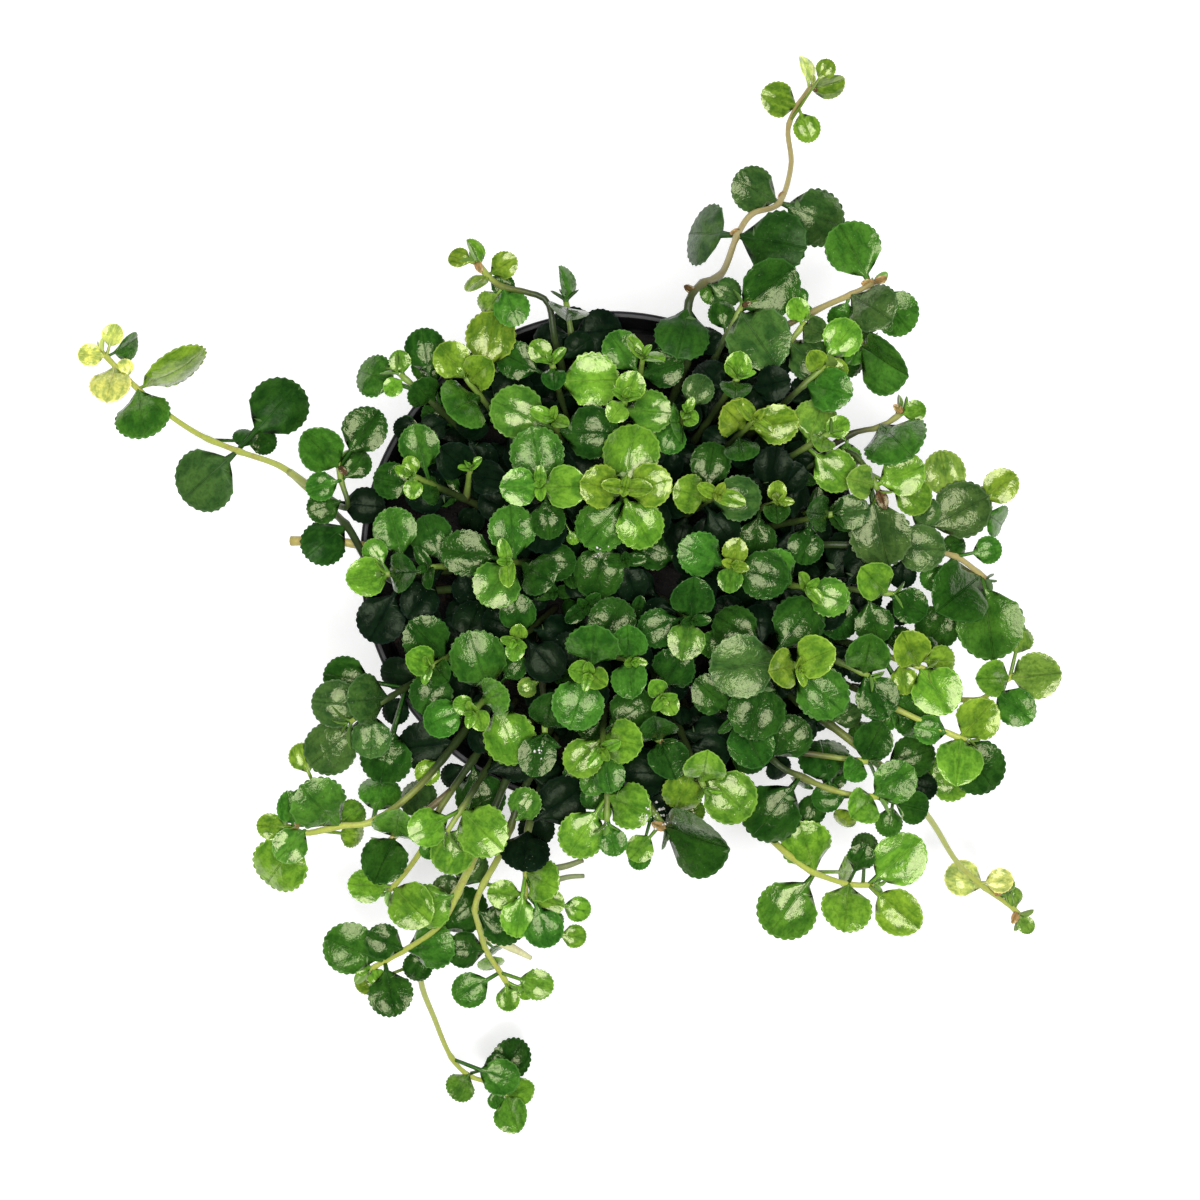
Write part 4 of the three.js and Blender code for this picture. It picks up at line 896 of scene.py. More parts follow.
def listed_leaf(shoot, row):
    """A leaf from its row: its bearing and reach lead from the stem to the place seen, and its rise comes
    from its level, from the second look, or from its length where it shows nearer than that."""
    px, py, pixels, level, tone = row
    px, py, pixels, tilt, roll = SECOND_LOOK.get((px, py), (px, py, pixels, None, 0))
    base = level_point(shoot, level)
    z = base[2] + 1
    radius = pixels / scale_at(z)
    step = seen(px, py, z)[:2] - base[:2]
    if tilt is not None:
        step = seen(px, py, z + math.hypot(*step) * math.tan(math.radians(tilt)))[:2] - base[:2]
    plan = math.hypot(*step)
    rank = min(level, 4)
    pitch = math.radians(PITCHES[rank] if tilt is None else tilt)
    reach = min(plan, LONGEST_STALK * radius) / math.cos(pitch)
    if plan < 1.27 * radius * math.cos(pitch):
        reach = 1.27 * radius
        pitch = min(math.acos(plan / reach), 1.1)
    bearing, roll = math.atan2(step[1], step[0]), math.radians(roll)
    return new_leaf(
        shoot, base, radius, reach, FOLDS[rank], level, tone, bearing=bearing, pitch=pitch, roll=roll
    )


def aim(leaf):
    """The blade's own directions as rows, from bearing, pitch and roll: along it, across it, and up out of
    it. The last two are turned about the first by the roll."""
    cb, sb = math.cos(leaf.bearing), math.sin(leaf.bearing)
    cp, sp = math.cos(leaf.pitch), math.sin(leaf.pitch)
    cr, sr = math.cos(leaf.roll), math.sin(leaf.roll)
    side, up = np.array([-sb, cb, 0]), np.array([-sp * cb, -sp * sb, cp])
    leaf.axes = np.array([[cp * cb, cp * sb, sp], side * cr + up * sr, up * cr - side * sr])


def bend(u, v, fold, span):
    """How far a blade stands off its plane: folded along the midrib, and drooping with the square of the way
    out."""
    return fold * np.abs(v) - DROOP * u * u / span


turns = [(share, np.arange(n) / n * 2 * np.pi) for share, n in ((1, RIM_FEELERS), (0.6, 9), (0.25, 4))]
circles = [np.stack([share * np.cos(a), share * np.sin(a)], axis=1) for share, a in turns]
FEELERS = np.concatenate(circles)


def feel(leaf):
    """Points spread over a blade: three rings about its middle and one on its stalk."""
    u = np.append(leaf.reach + leaf.radius * FEELERS[:, 0], leaf.reach * 0.22)
    v = np.append(leaf.radius * FEELERS[:, 1], 0)
    w = bend(u, v, leaf.fold, leaf.reach + leaf.radius)
    leaf.points = leaf.base + np.stack([u, v, w], axis=1) @ leaf.axes


def inside_blades(offsets, axes, reach, radius, fold):
    """For points given from each blade's base: within a little of its disc or its stalk's wedge, and of its
    surface."""
    u, v, w = np.moveaxis(np.einsum("npk,nak->npa", offsets, axes), 2, 0)
    reach, radius, fold = reach[:, None], radius[:, None], fold[:, None]
    disc = (u - reach) ** 2 + v * v < (radius + 0.9) ** 2
    wedge = (u > 0) & (u < reach) & (np.abs(v) < 0.75 * u + 0.9)
    return (disc | wedge) & (np.abs(w - bend(u, v, fold, reach + radius)) < LEAF_CLEAR)


def as_rods(stems):
    """The straight steps of several stems, one row each: start, step, and the stem's number and node."""
    steps = [len(s.run) - 1 for s in stems]
    return SimpleNamespace(
        start=np.concatenate([s.run[:-1] for s in stems]),
        step=np.concatenate([np.diff(s.run, axis=0) for s in stems]),
        shoot=np.repeat([s.number for s in stems], steps),
        node=np.repeat([s.node for s in stems], steps),
    )


rods = as_rods(shoots)


def gaps_to_rods(points, start, step):
    """The distance from every point to every rod: the point less its foot on the rod, which is the share of
    the step that the point's offset covers, kept between 0 and 1."""
    offset = points[:, None] - start
    t = np.clip((offset * step).sum(2) / (step * step).sum(1), 0, 1)
    return np.linalg.norm(offset - step * t[:, :, None], axis=2)


def clear_of_stems(leaf):
    """No point of the blade comes near another shoot's rod. The stalk may pass a rod of its own node."""
    span = leaf.reach + leaf.radius + STEM_STEP + 3
    near = np.flatnonzero(np.linalg.norm(rods.start - leaf.base, axis=1) < span)
    near = near[rods.shoot[near] != leaf.shoot.number]
    touch = gaps_to_rods(leaf.points, rods.start[near], rods.step[near]) < STEM_CLEAR
    touch[-1, rods.node[near] == leaf.shoot.node] = False
    return not touch.any()


def clear_of_pot(points):
    """No point below the floor, in the soil, or in the pot's wall or rim."""
    r, z = np.hypot(points[:, 0], points[:, 1]), points[:, 2]
    outside = np.where(z > 76, RIM_R, BASE_R + (49.3 - BASE_R) * z / 76) + 1
    hit = np.where(r < 49, z < soil_top(r) + 1.8, r < outside)
    return not ((z < 1.2) | ((z <= RIM_Z + 0.9) & hit)).any()


class Thicket:
    """The blades placed so far, as arrays, so that one question is put to all of them at once."""

    def __init__(self, most):
        self.leaves = []
        self.base, self.axes = np.zeros((most, 3)), np.zeros((most, 3, 3))
        self.reach, self.radius, self.fold = np.zeros(most), np.zeros(most), np.zeros(most)
        self.points, self.shoot = np.zeros((most, len(FEELERS) + 1, 3)), np.zeros(most, int)

    def add(self, leaf):
        k = len(self.leaves)
        self.leaves.append(leaf)
        for name in ("base", "axes", "reach", "radius", "fold", "points"):
            getattr(self, name)[k] = getattr(leaf, name)
        self.shoot[k] = leaf.shoot.number

    def clear_of(self, leaf, mind_own=True):
        """Neither the leaf's points in another blade nor another's points in the leaf. On its own shoot only
        the outer ring of points counts, and only away from where both leave the stem."""
        k = len(self.leaves)
        gap = np.linalg.norm(self.base[:k] - leaf.base, axis=1)
        near = gap <= leaf.reach + leaf.radius + 2 + self.reach[:k] + self.radius[:k]
        same = self.shoot[:k] == leaf.shoot.number
        own = (near & same & mind_own, RIM_FEELERS, OWN_NODE)
        others = (near & ~same, len(FEELERS) + 1, 0.0)
        for group, count, node in (own, others):
            group = np.flatnonzero(group)
            home = self.base[group][:, None]
            mine, theirs = leaf.points[None, :count], self.points[group][:, :count]
            blades = (self.axes[group], self.reach[group], self.radius[group], self.fold[group])
            shape = (leaf.axes, leaf.reach, leaf.radius, leaf.fold)
            like = [np.broadcast_to(x, (len(home), *np.shape(x))) for x in shape]
            asked = ((mine, home, leaf.base, blades), (theirs, leaf.base, home, like))
            for points, there, here, blade in asked:
                gaps = (np.linalg.norm(points - end, axis=2) for end in (there, here))
                beyond = np.logical_and(*(away >= node for away in gaps))
                if (inside_blades(points - there, *blade) & beyond).any():
                    return False
        return True


def cost(bent):
    """How much a bend shows: its tilt, its roll and what it takes off the size."""
    return abs(bent[0]) / 7 + abs(bent[1]) / 9 + (1 - bent[2]) * 22


tilts = (0, -7, 7, -14, 14, -21, 21, -28, 28, -36, 36)
sizes = (1, 0.88, 0.76, 0.64)
BENDS = sorted([(p, r, size) for size in sizes for r in (0, 14, -14, 26, -26) for p in tilts], key=cost)


def fit(leaf, thicket, bends, mind_own=True):
    """The leaf as it is, or bent clear by the mildest bend that will do, or None. Leaves from level 5 on,
    which are in the shade, shrink together with their stalk, and the others about their middle."""
    for pitch, roll, size in bends:
        bent = copy.copy(leaf)
        bent.pitch, bent.roll = leaf.pitch + math.radians(pitch), leaf.roll + math.radians(roll)
        bent.radius, bent.reach = leaf.radius * size, leaf.reach * (size if leaf.level >= 5 else 1)
        aim(bent)
        feel(bent)
        if clear_of_pot(bent.points) and thicket.clear_of(bent, mind_own) and clear_of_stems(bent):
            thicket.add(bent)
            return bent
    return None


thicket = Thicket(MOST_LEAVES)
listed = [listed_leaf(s, row) for s in shoots for row in s.rows]
listed.sort(key=lambda leaf: min(leaf.level, 4))
for leaf in listed:
    if not fit(leaf, thicket, BENDS):
        fit(leaf, thicket, BENDS, mind_own=False)
print("listed leaves placed: %d of %d" % (len(thicket.leaves), len(listed)))

# %% [markdown]
# ## Leaves between the shoots
# The part holds the leaves that make its shape. The photograph shows more of them in the gaps and over the
# rim. They could be scattered there, but they are plain to see, so they are listed too, as pixel, pixel,
# radius in pixels, height in mm and tone. Each finds its own stem: every stem is tried at every millimetre or
# so, a place scores better the more natural its stalk, neither cramped nor long nor steep, and the leaf takes
# the mildest bend that is clear at one of the best places.

# %% Leaves that only the dressed plant has, each hung on the stem that suits it
BETWEEN = [
    [304, 757, 14, 93, "y"], [424, 746, 25, 97, "k"], [380, 789, 21, 91, "m"], [415, 795, 20, 92, "g"],
    [480, 797, 25, 94, "d"], [355, 812, 15, 90, "b"], [357, 836, 14, 89, "y"], [429, 850, 10, 92, "m"],
    [470, 868, 18, 88, "g"], [447, 893, 17, 80, "g"], [524, 805, 17, 103, "e"], [562, 802, 25, 100, "k"],
    [503, 925, 22, 82, "d"], [553, 925, 13, 90, "m"], [578, 911, 13, 88, "b"], [574, 938, 12, 86, "b"],
    [658, 803, 22, 96, "k"], [428, 772, 13, 93, "y"], [848, 716, 13, 97, "g"], [886, 717, 14, 96, "m"],
    [913, 757, 22, 95, "d"], [922, 787, 15, 91, "k"], [950, 778, 24, 95, "b"], [890, 823, 14, 92, "m"],
    [843, 822, 12, 92, "y"], [812, 812, 15, 93, "d"], [800, 787, 13, 93, "d"], [866, 848, 14, 88, "g"],
    [876, 879, 17, 84, "b"], [926, 513, 15, 96, "g"], [920, 548, 24, 97, "g"], [852, 557, 28, 97, "k"],
    [903, 575, 14, 93, "k"], [940, 628, 23, 93, "d"], [1020, 637, 15, 84, "o"], [840, 620, 20, 98, "d"],
    [428, 366, 17, 96, "d"], [364, 505, 19, 93, "k"], [438, 416, 16, 92, "d"], [405, 428, 12, 90, "k"],
    [375, 552, 13, 103, "e"], [445, 490, 17, 95, "d"], [727, 292, 15, 93, "g"], [712, 292, 12, 93, "m"],
    [852, 357, 19, 96, "d"], [862, 338, 13, 95, "g"], [843, 318, 15, 98, "m"], [672, 436, 16, 104, "m"],
    [800, 296, 9, 95, "m"], [825, 71, 10, 44, "y"], [722, 313, 14, 96, "d"], [452, 778, 14, 92, "k"],
    [395, 712, 14, 92, "k"], [868, 600, 15, 95, "k"], [900, 612, 14, 95, "k"], [782, 772, 14, 95, "k"],
    [828, 797, 15, 95, "d"], [905, 690, 12, 96, "d"], [956, 546, 13, 97, "d"], [1000, 881, 13, 45, "w"],
    [903, 640, 14, 94, "d"], [930, 650, 13, 94, "d"], [862, 732, 13, 93, "m"], [835, 775, 13, 93, "d"],
    [906, 722, 12, 95, "d"], [502, 284, 12, 99, "d"], [640, 858, 12, 100, "m"], [573, 537, 7, 107, "b"],
    [599, 572, 26, 100, "d"], [556, 562, 19, 100, "d"], [655, 550, 21, 98, "d"], [640, 585, 16, 94, "k"],
    [612, 622, 24, 104, "d"], [735, 628, 23, 101, "d"], [714, 645, 14, 104, "m"], [757, 540, 20, 99, "d"],
    [800, 458, 17, 100, "k"], [768, 612, 16, 98, "k"], [514, 668, 13, 104, "d"], [528, 687, 10, 101, "o"],
    [632, 712, 24, 108, "d"], [592, 727, 14, 103, "d"], [594, 782, 14, 106, "m"], [592, 797, 12, 102, "d"],
    [710, 737, 22, 102, "k"], [604, 812, 8, 104, "b"], [693, 812, 12, 104, "b"], [428, 908, 23, 82, "b"],
    [462, 912, 24, 76, "d"], [417, 968, 15, 66, "d"], [366, 984, 12, 68, "y"], [493, 977, 14, 70, "b"],
    [507, 968, 13, 68, "m"], [500, 1077, 19, 25, "m"], [263, 440, 14, 60, "d"], [124, 367, 9, 50, "w"],
]
TRIED_PLACES = 8
counts = [max(4, int(s.length)) for s in shoots]
spread = [evenly(s.places, np.linspace(0.1, 0.97, n))[0] for s, n in zip(shoots, counts)]
perches, perch_of = np.concatenate(spread), np.repeat(np.arange(len(shoots)), counts)


def hung_leaf(row):
    """The leaf on every second one of the best places. Awkwardness: twice what the stalk lacks, what it has
    too much, six times its steepness, and three tenths of the miss in height."""
    px, py, pixels, z, tone = row
    height = np.clip(perches[:, 2] + 1.0, z - 6, z + 3)
    target = np.stack([seen(px, py, h) for h in height])
    step = target - perches
    far = np.linalg.norm(step, axis=1)
    radius = pixels / scale_at(z)
    steep = np.abs(step[:, 2]) / np.maximum(far, 0.1)
    awkward = 2 * np.maximum(1.25 * radius - far, 0) + np.maximum(far - 1.7 * radius, 0)
    awkward = awkward + 6 * steep + 0.3 * np.abs(height - z)
    for k in np.argsort(awkward)[::2][:TRIED_PLACES]:
        x, y, rise = step[k]
        bearing, pitch = math.atan2(y, x), math.atan2(rise, math.hypot(x, y))
        reach, shoot = max(far[k], 1.2 * radius), shoots[perch_of[k]]
        yield new_leaf(
            shoot, perches[k], radius, reach, -0.02, 3, tone, bearing=bearing, pitch=pitch, roll=0.0
        )


before = len(thicket.leaves)
for row in BETWEEN:
    hung = list(hung_leaf(row))
    any(fit(leaf, thicket, [bent]) for bent in BENDS for leaf in hung)
print("leaves between the shoots: %d of %d" % (len(thicket.leaves) - before, len(BETWEEN)))

# %% [markdown]
# ## Leaves under the canopy
# The photograph shows only the upper leaves, with darker ones in the shade below them. Without those the
# mound would be a thin skin on bare stalks when seen from the side. So each stem carries more pairs on the
# way down, each turned a quarter from the one above, smaller and darker, with the shade under the canopy
# painted into their nearly black tone, and only where they find room and are no further out than just
# beyond the rim.

# %% Pairs down each stem, as the rule of quarter turns puts them
growth = np.random.default_rng(31)
BARE_BEYOND = 55.0
MILD = [
    (0, 0, 1), (-9, 0, 1), (9, 0, 1), (-18, 0, 0.9), (0, 16, 0.9), (0, -16, 0.9), (-28, 0, 0.8),
    (18, 0, 0.8), (0, 0, 0.66), (-20, 14, 0.66), (-20, -14, 0.66),
]


def first_bearing(shoot):
    """The way that the leaves of level 0 point, from the first listed leaf and a quarter turn for each
    level."""
    leaf = listed_leaf(shoot, shoot.rows[0])
    return leaf.bearing + leaf.level * math.pi / 2


def lower_leaves(shoot):
    """Pairs every 6 mm, from just under the listed ones down to a little above the soil. On a long stem they
    keep near the root."""
    mound = len(shoot.path) == 1
    high = shoot.length - (LEVELS[max(row[3] for row in shoot.rows)] + 5.5 if mound else 0)
    low = ROOT_DEPTH + 6.5 if not shoot.parent else 4.0
    if not mound:
        high = min(high - 12, low + 15)
    for k, length in enumerate(np.arange(high, low, -6.0)):
        base = stem_at(shoot, length)
        for half in (0, math.pi):
            turn = first_bearing(shoot) + (k + 1) * math.pi / 2 + half + growth.uniform(-0.25, 0.25)
            radius = growth.uniform(3.4, 5.2)
            pitch = math.radians(growth.uniform(-16, 8))
            reach = radius * growth.uniform(1.3, 1.55)
            # Tone k paints the shade under the canopy onto these lower leaves.
            if math.hypot(base[0], base[1]) < BARE_BEYOND:
                yield new_leaf(
                    shoot, base, radius, reach, -0.04, 5 + k, "k", bearing=turn, pitch=pitch, roll=0.0
                )


before = len(thicket.leaves)
for s in shoots:
    for leaf in lower_leaves(s):
        fit(leaf, thicket, MILD)
print("leaves below the canopy:", len(thicket.leaves) - before)

# %% [markdown]
# ## Undergrowth
# Between the long stems the real pot is full of short shoots, which show only as dark leaves in the gaps, and
# which cover the rim except at the back and on the left. They could be copies of the tall ones, but those
# would not fit, so short sprigs are set out over the soil like seeds on a sunflower, each a fixed angle on
# from the last, and a sprig or a leaf of it that finds no room is left out.

# %% Short sprigs where there is room
BARE_RIM = ((56, 116), (147, 208))
SPRIG_HOLE, SPRIG_SEEDS = 2.3, 170
GOLDEN_TURN = 2.399963


def clear_run(run):
    """A stem clears the others by a stem's width, and passes through no blade."""
    if (gaps_to_rods(run, rods.start, rods.step) < SPRIG_HOLE).any():
        return False
    k = len(thicket.leaves)
    blades = (thicket.axes[:k], thicket.reach[:k], thicket.radius[:k], thicket.fold[:k])
    return not inside_blades(run[None] - thicket.base[:k, None], *blades).any()


def sprig(number, k):
    """Seed k: radius by the square root of its share, angle k golden turns. Near the rim it leans out over
    it."""
    r, a = 45.0 * math.sqrt((k + 0.5) / SPRIG_SEEDS), k * GOLDEN_TURN
    degrees = math.degrees(a) % 360
    outer = r > 36
    if outer and any(low < degrees < high for low, high in BARE_RIM):
        return None
    rise = growth.uniform(10.5, 13.0) if outer else growth.uniform(7.0, 15.0)
    lean = growth.uniform(2.5, 5.0) if outer else growth.uniform(-1.5, 2.0)
    foot = np.array([r * math.cos(a), r * math.sin(a), soil_top(r)])
    out, up = np.array([math.cos(a), math.sin(a), 0]), np.array([0, 0, rise])
    tip = foot + up + out * lean
    places = [foot - [0, 0, 5], foot + [0, 0, 1.5], foot + up * 0.55 + out * lean * 0.35, tip]
    run, length = evenly(places, np.linspace(0, 1, 5))
    made = SimpleNamespace(number=number, name="sprig", node="undergrowth", parent=None, outer=outer, rows=[])
    made.places, made.run, made.length, made.along = places, run, length, lengths_along(run)
    return made if clear_run(run[1:]) else None


def sprig_leaves(s):
    """Three crossed pairs down the sprig, the top one younger."""
    start = growth.uniform(0, 6.28)
    for k, down in enumerate((0.8, 4.6, 8.4)):
        for half in (0, math.pi):
            radius = growth.uniform(3.0, 4.3) if k == 0 else growth.uniform(3.8, 5.4)
            # The dark and nearly black tones paint the shade in the gaps; only the top pair of a sprig at the
            # rim is lighter.
            tone = growth.choice(["m", "d", "d"] if s.outer and k == 0 else ["d", "k", "k"])
            turn = start + k * math.pi / 2 + half + growth.uniform(-0.2, 0.2)
            pitch = math.radians(growth.uniform(-6, 20) - 8 * k)
            reach = radius * growth.uniform(1.28, 1.5)
            base, fold = stem_at(s, s.length - down), 0.06 if k == 0 else -0.04
            yield new_leaf(s, base, radius, reach, fold, 2 + k, tone, bearing=turn, pitch=pitch, roll=0.0)


sprigs = []
for k in range(SPRIG_SEEDS):
    s = sprig(len(shoots) + len(sprigs), k)
    if s:
        grown = [leaf for leaf in sprig_leaves(s) if fit(leaf, thicket, MILD)]
        if grown:
            sprigs.append(s)
            rods = as_rods(shoots + sprigs)
print("sprigs:", len(sprigs), "leaves so far:", len(thicket.leaves))

# %% [markdown]
# ## The young tips
# Every shoot ends in leaves that are still opening: a small pair that stands up and is folded along its
# midrib, crossing the last open pair, and a tinier pair inside it. Their blades are narrow, and their tone
# follows the shoot's first leaf. They are only a few pixels each, so they follow from the stem's end and its
# first pair by rule, without a test of what is in their way.

# %% Two crossed pairs of bud leaves at the end of every stem


def tip_axes(way, turn, lean):
    """Directions of a bud leaf: it starts out across the stem's way at angle turn, and leans up along it by
    lean."""
    flat = np.array([math.cos(turn), math.sin(turn), 0.0])
    out = flat - way * (flat @ way)
    out /= np.linalg.norm(out)
    along = out * math.cos(lean) + way * math.sin(lean)
    up = way * math.cos(lean) - out * math.sin(lean)
    return np.array([along, np.cross(up, along), up])


def tip_leaves(shoot):
    """Two pairs of bud leaves at the stem's end, smaller and more upright where a listed pair is there."""
    way = shoot.run[-1] - shoot.run[-2]
    way /= np.linalg.norm(way)
    turn = first_bearing(shoot) + math.pi / 2 if shoot.rows else growth.uniform(0, 6.28)
    open_tip = any(row[3] == 0 for row in shoot.rows)
    pairs = ((1.5, 48, 0.0), (0.9, 70, 0.6)) if open_tip else ((2.1, 34, -0.3), (1.2, 62, 0.5))
    first = shoot.rows[0][4] if shoot.rows else "d"
    tone = first if first in "dw" else "y" if first in "yo" else "b"
    for k, (radius, lean, up) in enumerate(pairs):
        for half in (0, math.pi):
            about = turn + k * math.pi / 2 + half + growth.uniform(-0.2, 0.2)
            axes = tip_axes(way, about, math.radians(lean + growth.uniform(-9, 9)))
            r = radius * growth.uniform(0.85, 1.15)
            yield new_leaf(shoot, shoot.run[-1] + way * up, r, r * 1.3, 0.34, -1 - k, tone, axes=axes)


buds = [leaf for s in shoots + sprigs for leaf in tip_leaves(s)]
print("bud leaves:", len(buds))

# %% [markdown]
# ## One blade
# A blade is a thin closed cushion: a scalloped outline, two rings and a middle point on its face, one ring on
# its back, and a short stalk. It could be a grid of squares, but its outline is what one sees, so the grid
# runs round and outwards: spokes at every second tooth, and rings at shares of the outline. Between two
# spokes one face takes all the points of the outline, which keeps it to about fifty faces with seventeen
# teeth.

# %% The pattern of points and faces that every blade shares
SHOULDER = math.radians(128)


def blade_pattern(teeth, samples):
    """Outline: radius 1 at even angles out to the shoulders, with tooth +1 on a crest and -1 in a notch, then
    six points: a hollow, the stalk's start and its far end, and the same three back on the other side."""
    t = np.arange(teeth * samples + 1) / samples - teeth / 2
    swing = np.abs(t - np.round(t)) * 2
    tooth = 1 - 2 * swing**1.8
    angle = t * 2 * SHOULDER / teeth
    rim_dir = np.stack([np.cos(angle), np.sin(angle)], axis=1)
    n = len(t)
    left = [[-0.90, 0.42], [-1.09, 0.12], [-1.09, 0.12]]
    side_points = np.array(left + [[a, -b] for a, b in left[::-1]])
    outline = np.concatenate([rim_dir, side_points])
    half = (teeth - 1) // 2
    crests = np.arange(-(half // 2) * 2, half + 1, 2) if half % 2 == 0 else np.arange(-half + 1, half, 2)
    spoke_at = ((crests + teeth / 2) * samples).astype(int)
    spokes = np.concatenate([rim_dir[spoke_at], [side_points[0], [-1.0, 0], side_points[5]]])
    m = len(spokes)
    rings = np.array([0.74, 0.40])[:, None, None] * spokes
    middle, stalk_end = [[0, 0]], [[-1.09, 0], [-1.09, 0]]
    inner = [rings[0], rings[1], middle, stalk_end, 0.60 * spokes, middle, stalk_end]
    ab = np.concatenate([outline, *inner])
    start = n + 6 + np.cumsum([0] + [len(x) for x in inner])
    a_ring, b_ring, mid, stalk, u_ring, u_mid, u_stalk = start[:-1]
    total = len(ab)
    edges = [np.arange(spoke_at[i], spoke_at[i + 1] + 1) for i in range(m - 4)]
    edges += [np.arange(spoke_at[-1], n + 1), np.array([n, n + 1, stalk])]
    edges += [np.array([stalk, n + 4, n + 5]), np.concatenate([[n + 5], np.arange(0, spoke_at[0] + 1)])]
    faces = []
    for i, edge in enumerate(edges):
        j = (i + 1) % m
        faces.append([a_ring + i, *edge, a_ring + j])
        under = [u_stalk if p == stalk else p for p in edge]
        faces.append([u_ring + i, *under, u_ring + j][::-1])
        faces.append([b_ring + i, a_ring + i, a_ring + j, b_ring + j])
    for i in range(0, m, 2):
        faces.append([mid, b_ring + i, b_ring + (i + 1) % m, b_ring + (i + 2) % m])
        faces.append([u_mid, u_ring + i, u_ring + (i + 1) % m, u_ring + (i + 2) % m][::-1])
    for top, sign in ((stalk, 1), (u_stalk, -1)):
        faces += [[n + 1, n + 2, top + 1, top][::sign], [top, top + 1, n + 3, n + 4][::sign]]
    faces.append([n + 3, stalk + 1, n + 2, u_stalk + 1])
    far = np.zeros(total, bool)
    far[[n + 2, n + 3, stalk + 1, u_stalk + 1]] = True
    on_stalk = far.copy()
    on_stalk[[n + 1, n + 4, stalk, u_stalk]] = True
    lift = np.zeros(total)
    lift[a_ring:u_ring] = 1
    lift[u_ring:] = -1
    rim = np.hypot(*ab.T)
    rim[on_stalk] = 0.2
    under = np.where(lift < 0, 1.0, np.where(lift > 0, 0.0, 0.5))
    spine = (np.abs(ab[:, 1]) < 1e-9) & (lift >= 0) & ~far
    crease = spine * 1 + ((np.arange(total) < n + 6) & ~on_stalk) * 2
    widths = sorted({len(f) for f in faces})
    return SimpleNamespace(
        ab=ab, tooth=np.concatenate([tooth, np.zeros(total - n)]), far=far, on_stalk=on_stalk,
        lift=lift, rim=rim, under=under, spine=spine, crease=crease, count=len(faces),
        faces=[np.array([f for f in faces if len(f) == width]) for width in widths],
    )
BROAD, SMALL, BUD = blade_pattern(17, 4), blade_pattern(17, 2), blade_pattern(9, 2)
print("faces of a broad, a small and a bud blade:", BROAD.count, SMALL.count, BUD.count)

# %% [markdown]
# ## Blades in their places
# The pattern is flat and has radius 1. Each leaf stretches it to its size and bends it: folded or domed,
# drooping to the tip, sunk along the midrib, puffed between the veins, with its edge turned down a little and
# a slight wave and twist that differ from leaf to leaf, because two leaves alike would catch the eye. Bud
# leaves are stretched long and narrow.

# %% From the pattern to points of all leaves at once
# k is painted shade: a dark leaf made as nearly black as the gaps and the shade under the canopy where it
# lies.
TONES = {
    "b": (0.128, 0.296, 0.026), "y": (0.160, 0.288, 0.025), "w": (0.600, 0.670, 0.170),
    "o": (0.166, 0.306, 0.042), "m": (0.046, 0.158, 0.017), "d": (0.019, 0.074, 0.009),
    "k": (0.004, 0.013, 0.005), "g": (0.046, 0.108, 0.024), "e": (0.086, 0.226, 0.024),
}
YOUNG_TONES, BROAD_R = "byowe", 4.2


def blade_shell(leaves, pattern, finish=0):
    """Along u = reach + radius a, across v = radius b. Height w = fold and droop + sunk midrib + puffs +
    turned edge + twist + wave + half the thickness."""
    n = len(leaves)
    grab = lambda name: np.array([getattr(leaf, name) for leaf in leaves])[:, None]
    reach, radius, fold = grab("reach"), grab("radius"), grab("fold")
    young = (grab("level") <= 0).astype(float)
    vary = np.random.default_rng(int(radius.sum() * 1000) % 9973)
    draw = lambda low, high: vary.uniform(low, high, (n, 1))
    a, b = pattern.ab[:, 0][None], pattern.ab[:, 1][None]
    teeth = 1 + draw(0.020, 0.036) * pattern.tooth * (1 - 0.3 * young)
    wide = draw(0.94, 1.07) * np.where(grab("level") < 0, 0.6, 1.0)
    narrowing = np.where(pattern.on_stalk, 1, wide**0.5)
    u = np.where(pattern.far, 0.2, reach + radius * a * teeth / narrowing)
    v = np.where(pattern.far, np.sign(b) * 0.42, radius * b * teeth * wide**0.5)
    rho2 = np.minimum(a * a + b * b, 1.0) * ~pattern.on_stalk
    theta = np.arctan2(b, a)
    flat = np.where(pattern.on_stalk, 0, 1)
    w = bend(u, v, fold, reach + radius)
    w = w - radius * 0.045 * pattern.spine * flat * (rho2 < 0.98)
    w = w + radius * 0.05 * np.clip(1 - ((np.abs(b) - 0.42) / 0.38) ** 2, 0, 1) * (1 - rho2) * flat
    w = w + radius * (draw(-0.22, -0.05) * (1 - young) + draw(-0.05, 0.06) * young) * rho2
    w = w + radius * draw(-0.10, 0.10) * a * b * flat
    w = w + radius * draw(0.0, 0.035) * rho2**1.5 * np.sin(3 * theta + draw(0, 6.28)) * flat
    thick = np.where(pattern.on_stalk, 0.42, (0.16 + 0.018 * radius) * (1 - rho2**2) + 0.05)
    w = w + pattern.lift * thick
    base, axes = (np.array([getattr(leaf, name) for leaf in leaves]) for name in ("base", "axes"))
    points = base[:, None] + np.einsum("lpa,lak->lpk", np.stack([u, v, w], axis=2), axes)
    size = len(pattern.ab)
    tone = np.array([TONES[leaf.tone] for leaf in leaves])
    tone = tone * draw(0.88, 1.12) * vary.uniform(0.93, 1.07, (n, 3))
    tone = np.concatenate([tone, np.ones((n, 1))], axis=1)
    first = (np.arange(n) * size)[:, None, None]
    faces = [(f[None] + first).reshape(-1, f.shape[1]) for f in pattern.faces]
    marks = {name: np.tile(getattr(pattern, name), n) for name in ("rim", "under", "crease")}
    marks.update(
        tone=np.repeat(tone, size, axis=0), chance=np.repeat(vary.uniform(0, 1, n), size),
        size=np.repeat(radius[:, 0], size), blade=np.tile(0.5 + 0.5 * pattern.ab, (n, 1)),
    )
    return shell(points.reshape(-1, 3), faces, finish, **marks)


def age(leaf):
    """Which of the three leaf finishes a leaf has: 0 while young and bright, 1 when grown, 2 when old and in
    the shade."""
    low = leaf.level >= 5 or (leaf.shoot in sprigs and leaf.level > 2)
    if low or leaf.tone == "k":
        return 2
    return 0 if leaf.tone in YOUNG_TONES else 1


